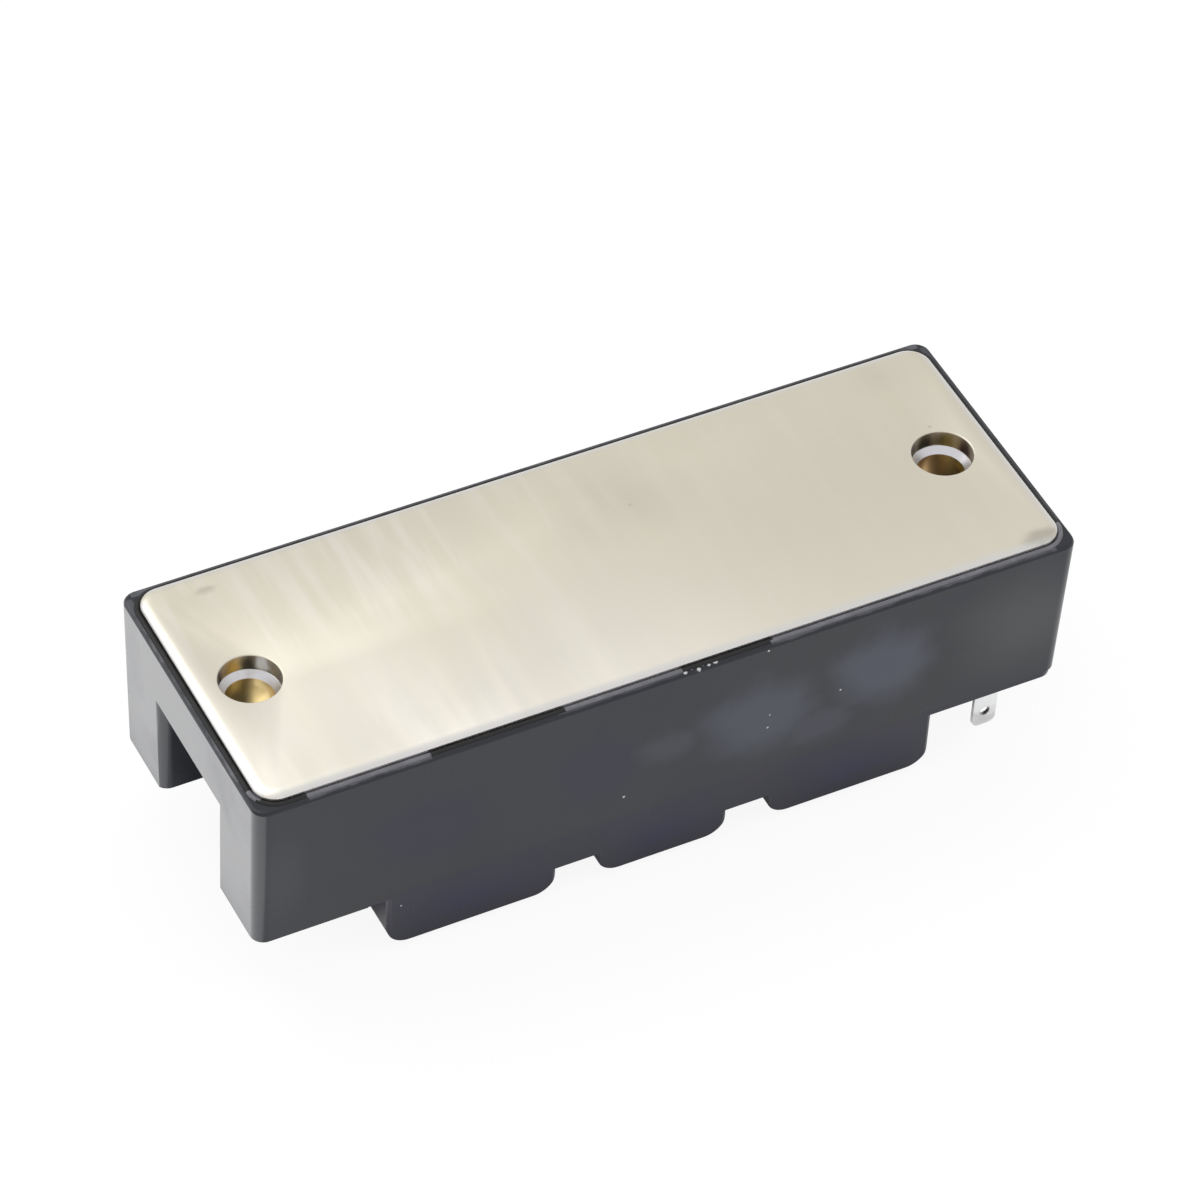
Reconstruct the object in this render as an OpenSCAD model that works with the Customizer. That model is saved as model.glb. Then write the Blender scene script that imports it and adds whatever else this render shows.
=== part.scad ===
// Half-bridge power module in a 34 mm wide housing with a metal base plate.
// It stands on the faces of its three screw terminals, base plate up.
// Origin: middle of the footprint, on the plane of the terminal faces. +Z is up.
// The long side runs along X. The plug tabs are at the +X end.

/* [Frame] */
// Length of the frame at its rim
module_l = 94; // [92:1:108]
// Width of the frame at its rim
module_w = 34; // [33:1:42]
// Height of the frame from its rim down to the seat of the cover
frame_h = 19; // [17:0.5:24]
// How much further down the two closed corners of the frame reach than that seat
corner_drop = 0.8; // [0.4:0.1:1]
// Wall of the frame
wall_t = 2.2; // [2:0.1:3]
// How far each outer face leans in, from the rim to the lowest edge
draft = 0.55; // [0.1:0.05:0.8]
// How much the housing narrows towards the terminals at each short end
end_draft = 0.25; // [0.1:0.05:0.8]
// Radius of the upright corners of the frame
corner_r = 1.5; // [1:0.1:2.4]
// Radius along the outer edge of the rim
rim_edge_r = 0.35; // [0.1:0.05:0.6]
// Thickness of the floor inside the closed corners
corner_floor_t = 1.5; // [1:0.1:2.5]
// Length of the closed corners, from the end of the frame to the cover
corner_l = 12.8; // [12.2:0.1:13.4]

/* [Base plate] */
// Thickness of the base plate
plate_t = 2; // [1.6:0.1:3]
// How far the base plate stands above the rim
plate_proud = 0.8; // [0.4:0.1:1]
// Width of the rim that shows around the base plate, with the sealant
rim_w = 1.05; // [1:0.05:1.5]
// Radius of the base plate's corners
plate_corner_r = 2.5; // [1.5:0.1:4]
// Radius along the upper edge of the base plate
plate_edge_r = 0.5; // [0.2:0.1:0.6]
// Width of the sealant joint around the base plate
sealant_w = 0.25; // [0.15:0.05:0.4]
// How far the sealant lies below the rim
sealant_drop = 0.15; // [0.05:0.05:0.4]

/* [Mounting holes] */
// Distance from each end of the frame to the middle of its mounting hole
hole_inset = 7; // [6.6:0.1:7.6]
// Diameter of the mounting holes in the base plate
plate_hole_d = 6.6; // [5.6:0.1:7.2]
// Diameter of the bore in the mounting bushings
bushing_bore_d = 5.2; // [4.5:0.1:5.5]
// Outer diameter of the mounting bushings
bushing_d = 9; // [8:0.1:10]
// Depth of the countersink at the upper end of each bushing
bushing_sink = 0.7; // [0.2:0.1:1]
// Thickness of the frame's web that holds each bushing
web_t = 5.8; // [4:0.1:8]
// Width of the notch below each web
notch_w = 14; // [13:0.5:15]
// Wall between each notch and the inside of the frame
notch_wall_t = 1.5; // [1:0.1:1.8]

/* [Cover] */
// Thickness of the cover's edge
cover_t = 1.1; // [0.9:0.1:1.8]
// How far the cover's edge lies inside the frame's lower edge
cover_inset = 0.3; // [0.1:0.05:0.5]
// How far the cover's end face stands back from the end of the frame
cover_end_inset = 0.05; // [0:0.05:0.4]
// Gap between the cover and the closed corners of the frame
cover_gap = 0.1; // [0.05:0.05:0.3]
// Height of the raised middle of the cover below its edge
platform_h = 4; // [3:0.1:6]
// Height of the terminal blocks below that raised middle
block_h = 3.1; // [2:0.1:4]
// Length of the middle terminal block along the module
middle_block_l = 15.2; // [14.6:0.1:16]
// Distance from each outer terminal block to the notch beside it
block_end_gap = 1.2; // [0.8:0.05:2.2]
// Width of the grooves between the terminal blocks
groove_w = 4.75; // [4.25:0.25:5.5]
// Radius of the lower corners of the terminal blocks
block_r = 2.6; // [0.5:0.1:2.8]
// Radius of the upright corners of the terminal blocks
block_side_r = 0.5; // [0.3:0.1:1.5]
// Wall of the terminal blocks
block_wall_t = 1.8; // [1.4:0.1:2.2]
// Thickness of the rib that centres the cover in the frame
rib_t = 1.2; // [0.8:0.1:1.6]
// Height of that rib
rib_h = 2; // [1:0.1:2.4]
// Clearance between that rib and the frame
rib_gap = 0.15; // [0.05:0.05:0.3]

/* [Screw terminals] */
// Distance from each outer terminal's screw to the mounting hole beside it
terminal_hole_gap = 17; // [16.6:0.1:17.4]
// Thickness of the terminal strip
terminal_t = 1; // [0.8:0.1:1.2]
// Width of each terminal face
terminal_w = 10.5; // [10.5:0.5:12]
// Distance from the terminal screw's axis to the free edge of its face
terminal_reach = 7; // [6.5:0.5:9]
// Diameter of the hole in each terminal face
terminal_hole_d = 5.6; // [5.3:0.1:6.4]
// Distance from the screw's axis to the near face of the terminal's leg
leg_y = 8.5; // [8:0.1:9.5]
// Width of the leg of the middle terminal
middle_leg_w = 9; // [8:0.5:9]
// Width of the legs of the outer terminals
outer_leg_w = 6; // [5:0.5:6]
// Length of the soldered foot of each terminal
foot_l = 4; // [3:0.5:4]
// Inner radius of the bends in the terminal strips
bend_r = 0.4; // [0.2:0.1:0.8]
// Width across the flats of the terminal nuts
nut_flats = 8; // [7.5:0.1:8.4]
// Height of the terminal nuts
nut_h = 4; // [3:0.1:4.4]
// Diameter of the bore in the terminal nuts
nut_bore_d = 4.4; // [4.2:0.1:5]
// Gap around the nuts in their pockets
nut_gap = 0.1; // [0.05:0.05:0.2]
// Room for the end of the screw above each nut
screw_room = 4.5; // [3:0.1:5]
// Diameter of that room
screw_room_d = 5.6; // [5.3:0.1:6.2]
// Diameter of the boss around each nut
boss_d = 13; // [12:0.1:13.4]

/* [Plug tabs] */
// Width of the plug tabs
tab_w = 2.8; // [2.4:0.1:3]
// Thickness of the plug tabs
tab_t = 0.5; // [0.4:0.1:0.8]
// Distance from the end of the frame to the middle of the tabs
tab_inset = 7; // [6.5:0.1:8]
// Distance from each long side of the frame to the middle of the outer tabs
tab_side = 3.4; // [3.2:0.1:3.6]
// Gap between the inner tabs and the wall of the notch
tab_wall_gap = 0.85; // [0.6:0.05:1.1]
// Gap between the foot of each outer tab and the inner tab beside it
tab_foot_gap = 0.5; // [0.3:0.1:1]
// How far the tip of each tab stays above the terminal faces
tab_tip = 0.9; // [0.3:0.1:3]
// Diameter of the hole in each tab
tab_hole_d = 1.2; // [0.8:0.1:1.4]
// Distance from the tip of each tab to that hole
tab_hole_rise = 2; // [1.6:0.1:3]
// Gap around the tabs where they pass through the cover
tab_gap = 0.15; // [0.05:0.05:0.25]

/* [Circuit] */
// Gap between each ceramic substrate and the wall of the notch
ceramic_end_gap = 2; // [1.5:0.25:2.5]
// Gap between each ceramic substrate and the long walls of the frame
ceramic_side_gap = 1.5; // [0.5:0.1:1.8]
// Thickness of the ceramic
ceramic_t = 0.63; // [0.38:0.05:1]
// Gap between the two substrates
ceramic_gap = 3; // [2.5:0.25:3.5]
// Thickness of the copper on both sides of the ceramic
copper_t = 0.3; // [0.2:0.05:0.4]
// Thickness of the solder under each substrate
solder_t = 0.15; // [0.1:0.05:0.3]
// Distance from the edge of the ceramic to the copper
copper_margin = 0.7; // [0.4:0.1:1]
// Thickness of the chips
chip_t = 0.25; // [0.1:0.05:0.4]
// Share of the room for chips that the transistor chip takes along the module
transistor_share = 0.6; // [0.5:0.02:0.7]
// Width of the transistor chips
transistor_w = 11; // [8:0.5:11]
// Width of the diode chips
diode_w = 9; // [8:0.5:10]
// Diameter of the thick bond wires
wire_d = 0.4; // [0.3:0.05:0.5]
// Diameter of the thin bond wires
thin_wire_d = 0.25; // [0.2:0.05:0.3]
// Distance between the thick bond wires
wire_pitch = 1.8; // [1.2:0.1:2]
// Depth of the silicone gel below the base plate
gel_h = 12; // [8:0.5:12]

/* [Hidden] */
$fn = 96;
hull_fn = 32;
cut = 1;
min_gap = 0.1;
rim_arc_step = 45;
plate_arc_step = 22.5;
hole_edge = 0.15;

// Heights, from the terminal faces up
block_z = terminal_t;
platform_z = block_z + block_h;
edge_z = platform_z + platform_h;
seat_z = edge_z + cover_t;
corner_z = seat_z - corner_drop;
rim_z = seat_z + frame_h;
top_z = rim_z + plate_proud;
plate_z = top_z - plate_t;
web_z = plate_z - web_t;

// Places along and across the module
end_x = module_l / 2;
side_y = module_w / 2;
hole_x = end_x - hole_inset;
cavity_x = end_x - wall_t;
cavity_y = side_y - wall_t;
cavity_r = 1;
plate_l = module_l - 2 * rim_w;
plate_w = module_w - 2 * rim_w;
notch_r = notch_w / 2;
cover_x0 = -end_x + corner_l;
cover_x1 = end_x - end_draft - cover_end_inset;
cover_y = side_y - draft - cover_inset;
platform_x = hole_x - notch_r - block_end_gap;
outer_block_l = platform_x - middle_block_l / 2 - groove_w;
outer_block_x = platform_x - outer_block_l / 2;
terminal_pitch = hole_x - terminal_hole_gap;
rib_x = hole_x - notch_r - notch_wall_t - 2 * rib_gap;
rib_y = cavity_y - rib_gap;
outer_leg_shift = terminal_w / 2 - outer_leg_w / 2 - min_gap;

// The layers under the base plate, downwards
back_z = plate_z - solder_t;
ceramic_z = back_z - copper_t;
track_z = ceramic_z - ceramic_t;
track_face_z = track_z - copper_t;
chip_face_z = track_face_z - chip_t;
gel_z = plate_z - gel_h;
ceramic_l = hole_x - notch_r - notch_wall_t - ceramic_end_gap - ceramic_gap / 2;
ceramic_w = 2 * (cavity_y - ceramic_side_gap);
substrate_x = ceramic_gap / 2 + ceramic_l / 2;

// The copper tracks, measured from the middle of a substrate, towards the module's middle
copper_x = ceramic_l / 2 - copper_margin;
copper_y = ceramic_w / 2 - copper_margin;
track_gap = 1.2;
gate_pad_l = 4;
pad_margin = 0.2;
chip_margin = 0.8;
chip_edge = 0.3;
wire_margin = 0.6;
wire_setback = 2;
split_y = 2.6;
split_x = 5;
main_x = -copper_x + gate_pad_l + track_gap;
emitter_y = split_y + track_gap + pad_margin;
chip_room = copper_x - main_x - 2 * chip_margin - track_gap;
transistor_l = transistor_share * chip_room;
diode_l = chip_room - transistor_l;
transistor_x = main_x + chip_margin + transistor_l / 2;
transistor_y = transistor_w / 2 - copper_y + chip_edge;
diode_x = copper_x - chip_margin - diode_l / 2;
transistor_steps = floor((transistor_l - 2 * wire_margin) / wire_pitch);
diode_steps = floor((diode_l - 2 * wire_margin) / wire_pitch);
wire_start_y = transistor_y + transistor_w / 2 - wire_setback;
wire_span = emitter_y + wire_margin - wire_start_y;
gate_wire_x = -copper_x + gate_pad_l - wire_margin;
gate_wire_span = main_x + 2 * chip_margin - gate_wire_x;
bridge_span = 4;
bridge_x = split_x - (bridge_span - track_gap) / 2;
bridge_y = copper_y - 3 * chip_margin;

// The plug tabs
tab_clear = 0.4;
outer_tab_y = side_y - tab_side;
inner_tab_y = notch_r + notch_wall_t + tab_wall_gap + tab_t / 2;
tab_x = end_x - tab_inset;
tab_run_z = seat_z + rib_h + tab_clear;
tab_riser_x = substrate_x + copper_x - tab_w / 2;
tab_foot_l = outer_tab_y - inner_tab_y - tab_t / 2 - tab_foot_gap;
tab_corner_r = 0.8;

// Nearer and further edge of the foot of the tab in the plane y, and of the pad under that foot
function foot_y0(y) = y - (y > 0 ? tab_foot_l : 0);
function pad_y0(y) = max(foot_y0(y) - pad_margin, -copper_y);
function pad_y1(y) = min(foot_y0(y) + tab_foot_l + pad_margin, copper_y);

// ---------- Shared shapes ----------

module rounded_plate(l, w, r) {
    square([l - 2 * r, w], center = true);
    square([l, w - 2 * r], center = true);
    for (x = [-1, 1], y = [-1, 1])
        translate([x * (l / 2 - r), y * (w / 2 - r)])
            circle(r);
}

// One thin slice of a body with rounded corners, its face at height z
module corner_slice(l, w, r, z, up) {
    for (x = [-1, 1], y = [-1, 1])
        translate([x * (l / 2 - r), y * (w / 2 - r), up ? z - 0.01 : z])
            cylinder(r = r, h = 0.01, $fn = hull_fn);
}

module slab(z0, z1) {
    translate([0, 0, z0])
        linear_extrude(z1 - z0)
            children();
}

// Cutter for a 45 degree countersink of a hole, from its lower edge up
module chamfer_cone(d, depth) {
    cylinder(d1 = d, d2 = d + 2 * depth + 2 * cut, h = depth + cut);
}

module box_between(x0, x1, y0, y1, z0, z1) {
    translate([x0, y0, z0])
        cube([x1 - x0, y1 - y0, z1 - z0]);
}

// Both ends of the module alike
module at_both_ends() {
    children();
    mirror([1, 0, 0])
        children();
}

// ---------- Base plate ----------

module base_plate_blank() {
    hull() {
        corner_slice(plate_l, plate_w, plate_corner_r, plate_z, false);
        for (a = [0 : plate_arc_step : 90]) {
            inset = plate_edge_r * (1 - cos(a));
            z = top_z - plate_edge_r * (1 - sin(a));
            corner_slice(plate_l - 2 * inset, plate_w - 2 * inset, plate_corner_r - inset, z, true);
        }
    }
}

module base_plate() {
    color("lightgoldenrodyellow")
        difference() {
            base_plate_blank();
            for (s = [-1, 1])
                translate([s * hole_x, 0, 0]) {
                    translate([0, 0, plate_z - cut])
                        cylinder(d = plate_hole_d, h = plate_t + 2 * cut);
                    translate([0, 0, top_z - hole_edge])
                        chamfer_cone(plate_hole_d, hole_edge);
                }
        }
}

// ---------- Frame ----------

module frame_blank() {
    hull() {
        corner_slice(module_l - 2 * end_draft, module_w - 2 * draft, corner_r, corner_z, false);
        for (a = [0 : rim_arc_step : 90]) {
            inset = rim_edge_r * (1 - cos(a));
            z = rim_z - rim_edge_r * (1 - sin(a));
            corner_slice(module_l - 2 * inset, module_w - 2 * inset, corner_r, z, true);
        }
    }
}

// Outline of the notch at the +X end, grown by extra
module notch_outline(extra) {
    translate([hole_x, 0])
        circle(notch_r + extra);
    translate([hole_x, -notch_r - extra])
        square([end_x + cut - hole_x, notch_w + 2 * extra]);
}

// Outline that rounds that notch into an end face at face_x
module mouth_outline(face_x) {
    difference() {
        translate([face_x - corner_r, -notch_r - corner_r])
            square([end_x + cut - face_x + corner_r, notch_w + 2 * corner_r]);
        for (s = [-1, 1])
            translate([face_x - corner_r, s * (notch_r + corner_r)])
                circle(corner_r);
    }
}

module cavity_outline() {
    difference() {
        rounded_plate(2 * cavity_x, 2 * cavity_y, cavity_r);
        at_both_ends()
            notch_outline(notch_wall_t);
    }
}

module frame() {
    color("darkslategray")
        difference() {
            frame_blank();
            // Seat of the base plate and its sealant
            slab(plate_z, rim_z + cut)
                rounded_plate(plate_l + 2 * sealant_w, plate_w + 2 * sealant_w, plate_corner_r + sealant_w);
            // Seat of the cover
            box_between(cover_x0, end_x + cut, -side_y - cut, side_y + cut, corner_z - cut, seat_z);
            // Inside, closed below at the -X corners
            slab(corner_z + corner_floor_t, plate_z + cut)
                cavity_outline();
            slab(seat_z - cut, plate_z)
                intersection() {
                    cavity_outline();
                    translate([cover_x0 + corner_floor_t, -side_y])
                        square([module_l, module_w]);
                }
            at_both_ends() {
                slab(corner_z - cut, web_z) {
                    notch_outline(0);
                    mouth_outline(end_x);
                }
                translate([hole_x, 0, web_z - cut])
                    cylinder(d = bushing_d, h = web_t + 2 * cut);
            }
        }
}

module base_sealant() {
    color("black")
        slab(plate_z, rim_z - sealant_drop)
            difference() {
                rounded_plate(plate_l + 2 * sealant_w, plate_w + 2 * sealant_w, plate_corner_r + sealant_w);
                rounded_plate(plate_l, plate_w, plate_corner_r);
            }
}

module mounting_bushings() {
    color("goldenrod")
        for (s = [-1, 1])
            translate([s * hole_x, 0, 0])
                difference() {
                    translate([0, 0, web_z])
                        cylinder(d = bushing_d, h = web_t);
                    translate([0, 0, web_z - cut])
                        cylinder(d = bushing_bore_d, h = web_t + 2 * cut);
                    translate([0, 0, plate_z - bushing_sink])
                        chamfer_cone(bushing_bore_d, bushing_sink);
                }
}

// ---------- Cover ----------

module block_front(l) {
    translate([-l / 2, block_z + block_r])
        square([l, seat_z - block_z - block_r]);
    translate([-l / 2 + block_r, block_z])
        square([l - 2 * block_r, block_r + 1]);
    for (s = [-1, 1])
        translate([s * (l / 2 - block_r), block_z + block_r])
            circle(block_r);
}

module terminal_block(x, l) {
    translate([x, 0, 0])
        intersection() {
            rotate([90, 0, 0])
                linear_extrude(2 * cover_y, center = true)
                    block_front(l);
            slab(block_z, seat_z)
                rounded_plate(l, 2 * cover_y, block_side_r);
        }
}

module terminal_blocks() {
    terminal_block(0, middle_block_l);
    for (s = [-1, 1])
        terminal_block(s * outer_block_x, outer_block_l);
}

module block_hollow(x, l) {
    x0 = max(x - l / 2 + block_wall_t, -rib_x + rib_t);
    x1 = min(x + l / 2 - block_wall_t, rib_x - rib_t);
    box_between(x0, x1, -rib_y + rib_t, rib_y - rib_t, block_z + block_wall_t, seat_z + cut);
}

module cover_edge_outline() {
    difference() {
        union() {
            translate([cover_x0 + cover_gap, -cover_y])
                square([(cover_x1 - cover_x0) / 2, 2 * cover_y]);
            translate([(cover_x1 + cover_x0) / 2, 0])
                rounded_plate(cover_x1 - cover_x0 - 2 * cover_gap, 2 * cover_y, corner_r);
        }
        at_both_ends() {
            notch_outline(0);
            mouth_outline(cover_x1);
        }
    }
}

module cover_shell() {
    slab(edge_z, seat_z)
        cover_edge_outline();
    slab(platform_z, seat_z)
        rounded_plate(2 * platform_x, 2 * cover_y, block_side_r);
    terminal_blocks();
    slab(seat_z, seat_z + rib_h)
        square([2 * rib_x, 2 * rib_y], center = true);
}

module cover_hollow() {
    box_between(-rib_x + rib_t, rib_x - rib_t, -rib_y + rib_t, rib_y - rib_t,
                platform_z + block_wall_t, seat_z + rib_h + cut);
    block_hollow(0, middle_block_l);
    for (s = [-1, 1])
        block_hollow(s * outer_block_x, outer_block_l);
}

module nut_pocket() {
    translate([0, 0, block_z - cut])
        rotate(30)
            cylinder(d = (nut_flats + 2 * nut_gap) / cos(30), h = nut_h + 2 * nut_gap + cut, $fn = 6);
    translate([0, 0, block_z])
        cylinder(d = screw_room_d, h = nut_h + 2 * nut_gap + screw_room);
}

module nut_boss() {
    translate([0, 0, block_z + block_wall_t])
        cylinder(d = boss_d, h = nut_h + 2 * nut_gap + screw_room);
}

module leg_slot(leg_w, shift) {
    box_between(shift - leg_w / 2 - 2 * nut_gap, shift + leg_w / 2 + 2 * nut_gap,
                leg_y - bend_r - nut_gap, leg_y + terminal_t + 2 * nut_gap,
                block_z - cut, seat_z + cut);
}

module cover() {
    color("darkslategray")
        difference() {
            union() {
                difference() {
                    cover_shell();
                    cover_hollow();
                }
                for (s = [-1, 0, 1])
                    translate([s * terminal_pitch, 0, 0])
                        nut_boss();
            }
            for (s = [-1, 0, 1])
                translate([s * terminal_pitch, 0, 0]) {
                    nut_pocket();
                    leg_slot(s == 0 ? middle_leg_w : outer_leg_w, -s * outer_leg_shift);
                }
            for (y = [-outer_tab_y, -inner_tab_y, inner_tab_y, outer_tab_y])
                box_between(tab_x - tab_w / 2 - tab_gap, tab_x + tab_w / 2 + tab_gap,
                            y - tab_t / 2 - tab_gap, y + tab_t / 2 + tab_gap,
                            edge_z - cut, seat_z + cut);
        }
}

// ---------- Screw terminals ----------

// Quarter of a bend in the strip, its centre at the origin, towards +Y and -Z
module bend_quarter() {
    intersection() {
        difference() {
            circle(bend_r + terminal_t);
            circle(bend_r);
        }
        translate([0, -bend_r - terminal_t])
            square(bend_r + terminal_t);
    }
}

// Side view of the leg, its bends and its foot
module leg_profile() {
    bend_y = leg_y - bend_r;
    low_z = bend_r + terminal_t;
    high_z = track_face_z - bend_r - terminal_t;
    translate([bend_y - cut, 0])
        square([cut, terminal_t]);
    translate([bend_y, low_z])
        bend_quarter();
    translate([leg_y, low_z])
        square([terminal_t, high_z - low_z]);
    translate([bend_y, high_z])
        mirror([0, 1])
            bend_quarter();
    translate([leg_y + terminal_t - foot_l, track_face_z - terminal_t])
        square([foot_l - terminal_t - bend_r, terminal_t]);
}

module terminal(leg_w, shift) {
    difference() {
        union() {
            box_between(-terminal_w / 2, terminal_w / 2, -terminal_reach, leg_y - bend_r, 0, terminal_t);
            translate([shift - leg_w / 2, 0, 0])
                rotate([90, 0, 90])
                    linear_extrude(leg_w)
                        leg_profile();
        }
        translate([0, 0, -cut])
            cylinder(d = terminal_hole_d, h = terminal_t + 2 * cut);
    }
}

module terminal_left() {
    color("silver")
        translate([-terminal_pitch, 0, 0])
            terminal(outer_leg_w, outer_leg_shift);
}

module terminal_middle() {
    color("silver")
        terminal(middle_leg_w, 0);
}

module terminal_right() {
    color("silver")
        translate([terminal_pitch, 0, 0])
            terminal(outer_leg_w, -outer_leg_shift);
}

module terminal_nuts() {
    color("gray")
        for (s = [-1, 0, 1])
            translate([s * terminal_pitch, 0, block_z + nut_gap])
                difference() {
                    intersection() {
                        rotate(30)
                            cylinder(d = nut_flats / cos(30), h = nut_h, $fn = 6);
                        union() {
                            cylinder(d1 = nut_flats, d2 = nut_flats + nut_h, h = nut_h / 2);
                            translate([0, 0, nut_h / 2])
                                cylinder(d1 = nut_flats + nut_h, d2 = nut_flats, h = nut_h / 2);
                        }
                    }
                    translate([0, 0, -cut])
                        cylinder(d = nut_bore_d, h = nut_h + 2 * cut);
                }
}

// ---------- Plug tabs ----------

// Side view of a tab, its run under the cover and its riser to the substrate
module tab_profile() {
    difference() {
        union() {
            translate([tab_x - tab_w / 2, tab_tip + tab_corner_r])
                square([tab_w, tab_run_z + tab_w - tab_tip - tab_corner_r]);
            translate([tab_x - tab_w / 2 + tab_corner_r, tab_tip])
                square([tab_w - 2 * tab_corner_r, tab_corner_r + cut]);
            for (s = [-1, 1])
                translate([tab_x + s * (tab_w / 2 - tab_corner_r), tab_tip + tab_corner_r])
                    circle(tab_corner_r);
            translate([tab_riser_x - tab_w / 2, tab_run_z])
                square([tab_x - tab_riser_x + tab_w, tab_w]);
            translate([tab_riser_x - tab_w / 2, tab_run_z])
                square([tab_w, track_face_z - tab_run_z]);
        }
        translate([tab_x, tab_tip + tab_hole_rise])
            circle(d = tab_hole_d);
    }
}

// A tab in the plane y, its foot pointing to the module's middle
module plug_tab(y) {
    color("gainsboro") {
        translate([0, y + tab_t / 2, 0])
            rotate([90, 0, 0])
                linear_extrude(tab_t)
                    tab_profile();
        box_between(tab_riser_x - tab_w / 2, tab_riser_x + tab_w / 2, foot_y0(y), foot_y0(y) + tab_foot_l,
                    track_face_z - tab_t, track_face_z);
    }
}

module tab_gate_near() {
    plug_tab(-outer_tab_y);
}

module tab_source_near() {
    plug_tab(-inner_tab_y);
}

module tab_source_far() {
    plug_tab(inner_tab_y);
}

module tab_gate_far() {
    plug_tab(outer_tab_y);
}

// ---------- Circuit ----------

// A substrate's own place: its x runs towards the module's middle
module at_substrates() {
    translate([-substrate_x, 0, 0])
        children();
    translate([substrate_x, 0, 0])
        mirror([1, 0, 0])
            children();
}

module substrate_solder() {
    color("lightgray")
        at_substrates()
            slab(back_z, plate_z)
                square([2 * copper_x, 2 * copper_y], center = true);
}

module substrate_backs() {
    color("peru")
        at_substrates()
            slab(ceramic_z, back_z)
                square([2 * copper_x, 2 * copper_y], center = true);
}

module substrate_ceramics() {
    color("white")
        at_substrates()
            slab(track_z, ceramic_z)
                square([ceramic_l, ceramic_w], center = true);
}

module track(x0, x1, y0, y1) {
    box_between(x0, x1, y0, y1, track_face_z, track_z);
}

module gate_pad(y) {
    track(-copper_x, -copper_x + gate_pad_l, pad_y0(y), pad_y1(y));
}

module substrate_tracks() {
    color("peru")
        at_substrates() {
            track(main_x, copper_x, -copper_y, split_y);
            track(main_x, split_x, emitter_y, copper_y);
            track(split_x + track_gap, copper_x, emitter_y, copper_y);
            for (y = [-outer_tab_y, -inner_tab_y, inner_tab_y, outer_tab_y])
                gate_pad(y);
        }
}

module transistor_chips() {
    color("dimgray")
        at_substrates()
            translate([transistor_x, transistor_y, chip_face_z + chip_t / 2])
                cube([transistor_l, transistor_w, chip_t], center = true);
}

module diode_chips() {
    color("dimgray")
        at_substrates()
            translate([diode_x, transistor_y, chip_face_z + chip_t / 2])
                cube([diode_l, diode_w, chip_t], center = true);
}

// A wire that loops from start_z to end_z over span, along +Y
module wire_loop(d, span, start_z, end_z) {
    low_z = min(start_z, end_z);
    translate([0, span / 2, low_z - d])
        rotate([0, 90, 0])
            rotate([0, 0, -90])
                rotate_extrude(angle = 180)
                    translate([span / 2, 0])
                        circle(d = d);
    translate([0, 0, low_z - d])
        cylinder(d = d, h = start_z - low_z + d);
    translate([0, span, low_z - d])
        cylinder(d = d, h = end_z - low_z + d);
}

module chip_wires(x, steps) {
    for (i = [0 : steps])
        translate([x + (i - steps / 2) * wire_pitch, wire_start_y, 0])
            wire_loop(wire_d, wire_span, chip_face_z, track_face_z);
}

module power_wires() {
    color("lightgray")
        at_substrates() {
            chip_wires(transistor_x, transistor_steps);
            chip_wires(diode_x, diode_steps);
            for (i = [0 : 1])
                translate([bridge_x, bridge_y + i * wire_pitch / 2, 0])
                    rotate(-90)
                        wire_loop(wire_d, bridge_span, track_face_z, track_face_z);
        }
}

module gate_wires() {
    color("lightgray")
        at_substrates()
            for (y = [-outer_tab_y, -inner_tab_y])
                translate([gate_wire_x, (pad_y0(y) + pad_y1(y)) / 2, 0])
                    rotate(-90)
                        wire_loop(thin_wire_d, gate_wire_span, track_face_z, chip_face_z);
}

module silicone_gel() {
    color("lightcyan")
        difference() {
            slab(gel_z, plate_z)
                cavity_outline();
            substrate_solder();
            substrate_backs();
            substrate_ceramics();
            substrate_tracks();
            transistor_chips();
            diode_chips();
            power_wires();
            gate_wires();
            terminal_left();
            terminal_middle();
            terminal_right();
            tab_gate_near();
            tab_source_near();
            tab_source_far();
            tab_gate_far();
        }
}

base_plate();
frame();
base_sealant();
mounting_bushings();
cover();
terminal_left();
terminal_middle();
terminal_right();
terminal_nuts();
tab_gate_near();
tab_source_near();
tab_source_far();
tab_gate_far();
substrate_solder();
substrate_backs();
substrate_ceramics();
substrate_tracks();
transistor_chips();
diode_chips();
power_wires();
gate_wires();
silicone_gel();
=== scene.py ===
"""Half-bridge power module on its screw terminals: moulded housing, nickel-plated base plate,
sealant joint, brass bushings, tinned terminals and tabs, with the stage it is shown on.
"""

import math

import bmesh
import bpy
from mathutils import Matrix, Vector


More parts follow.
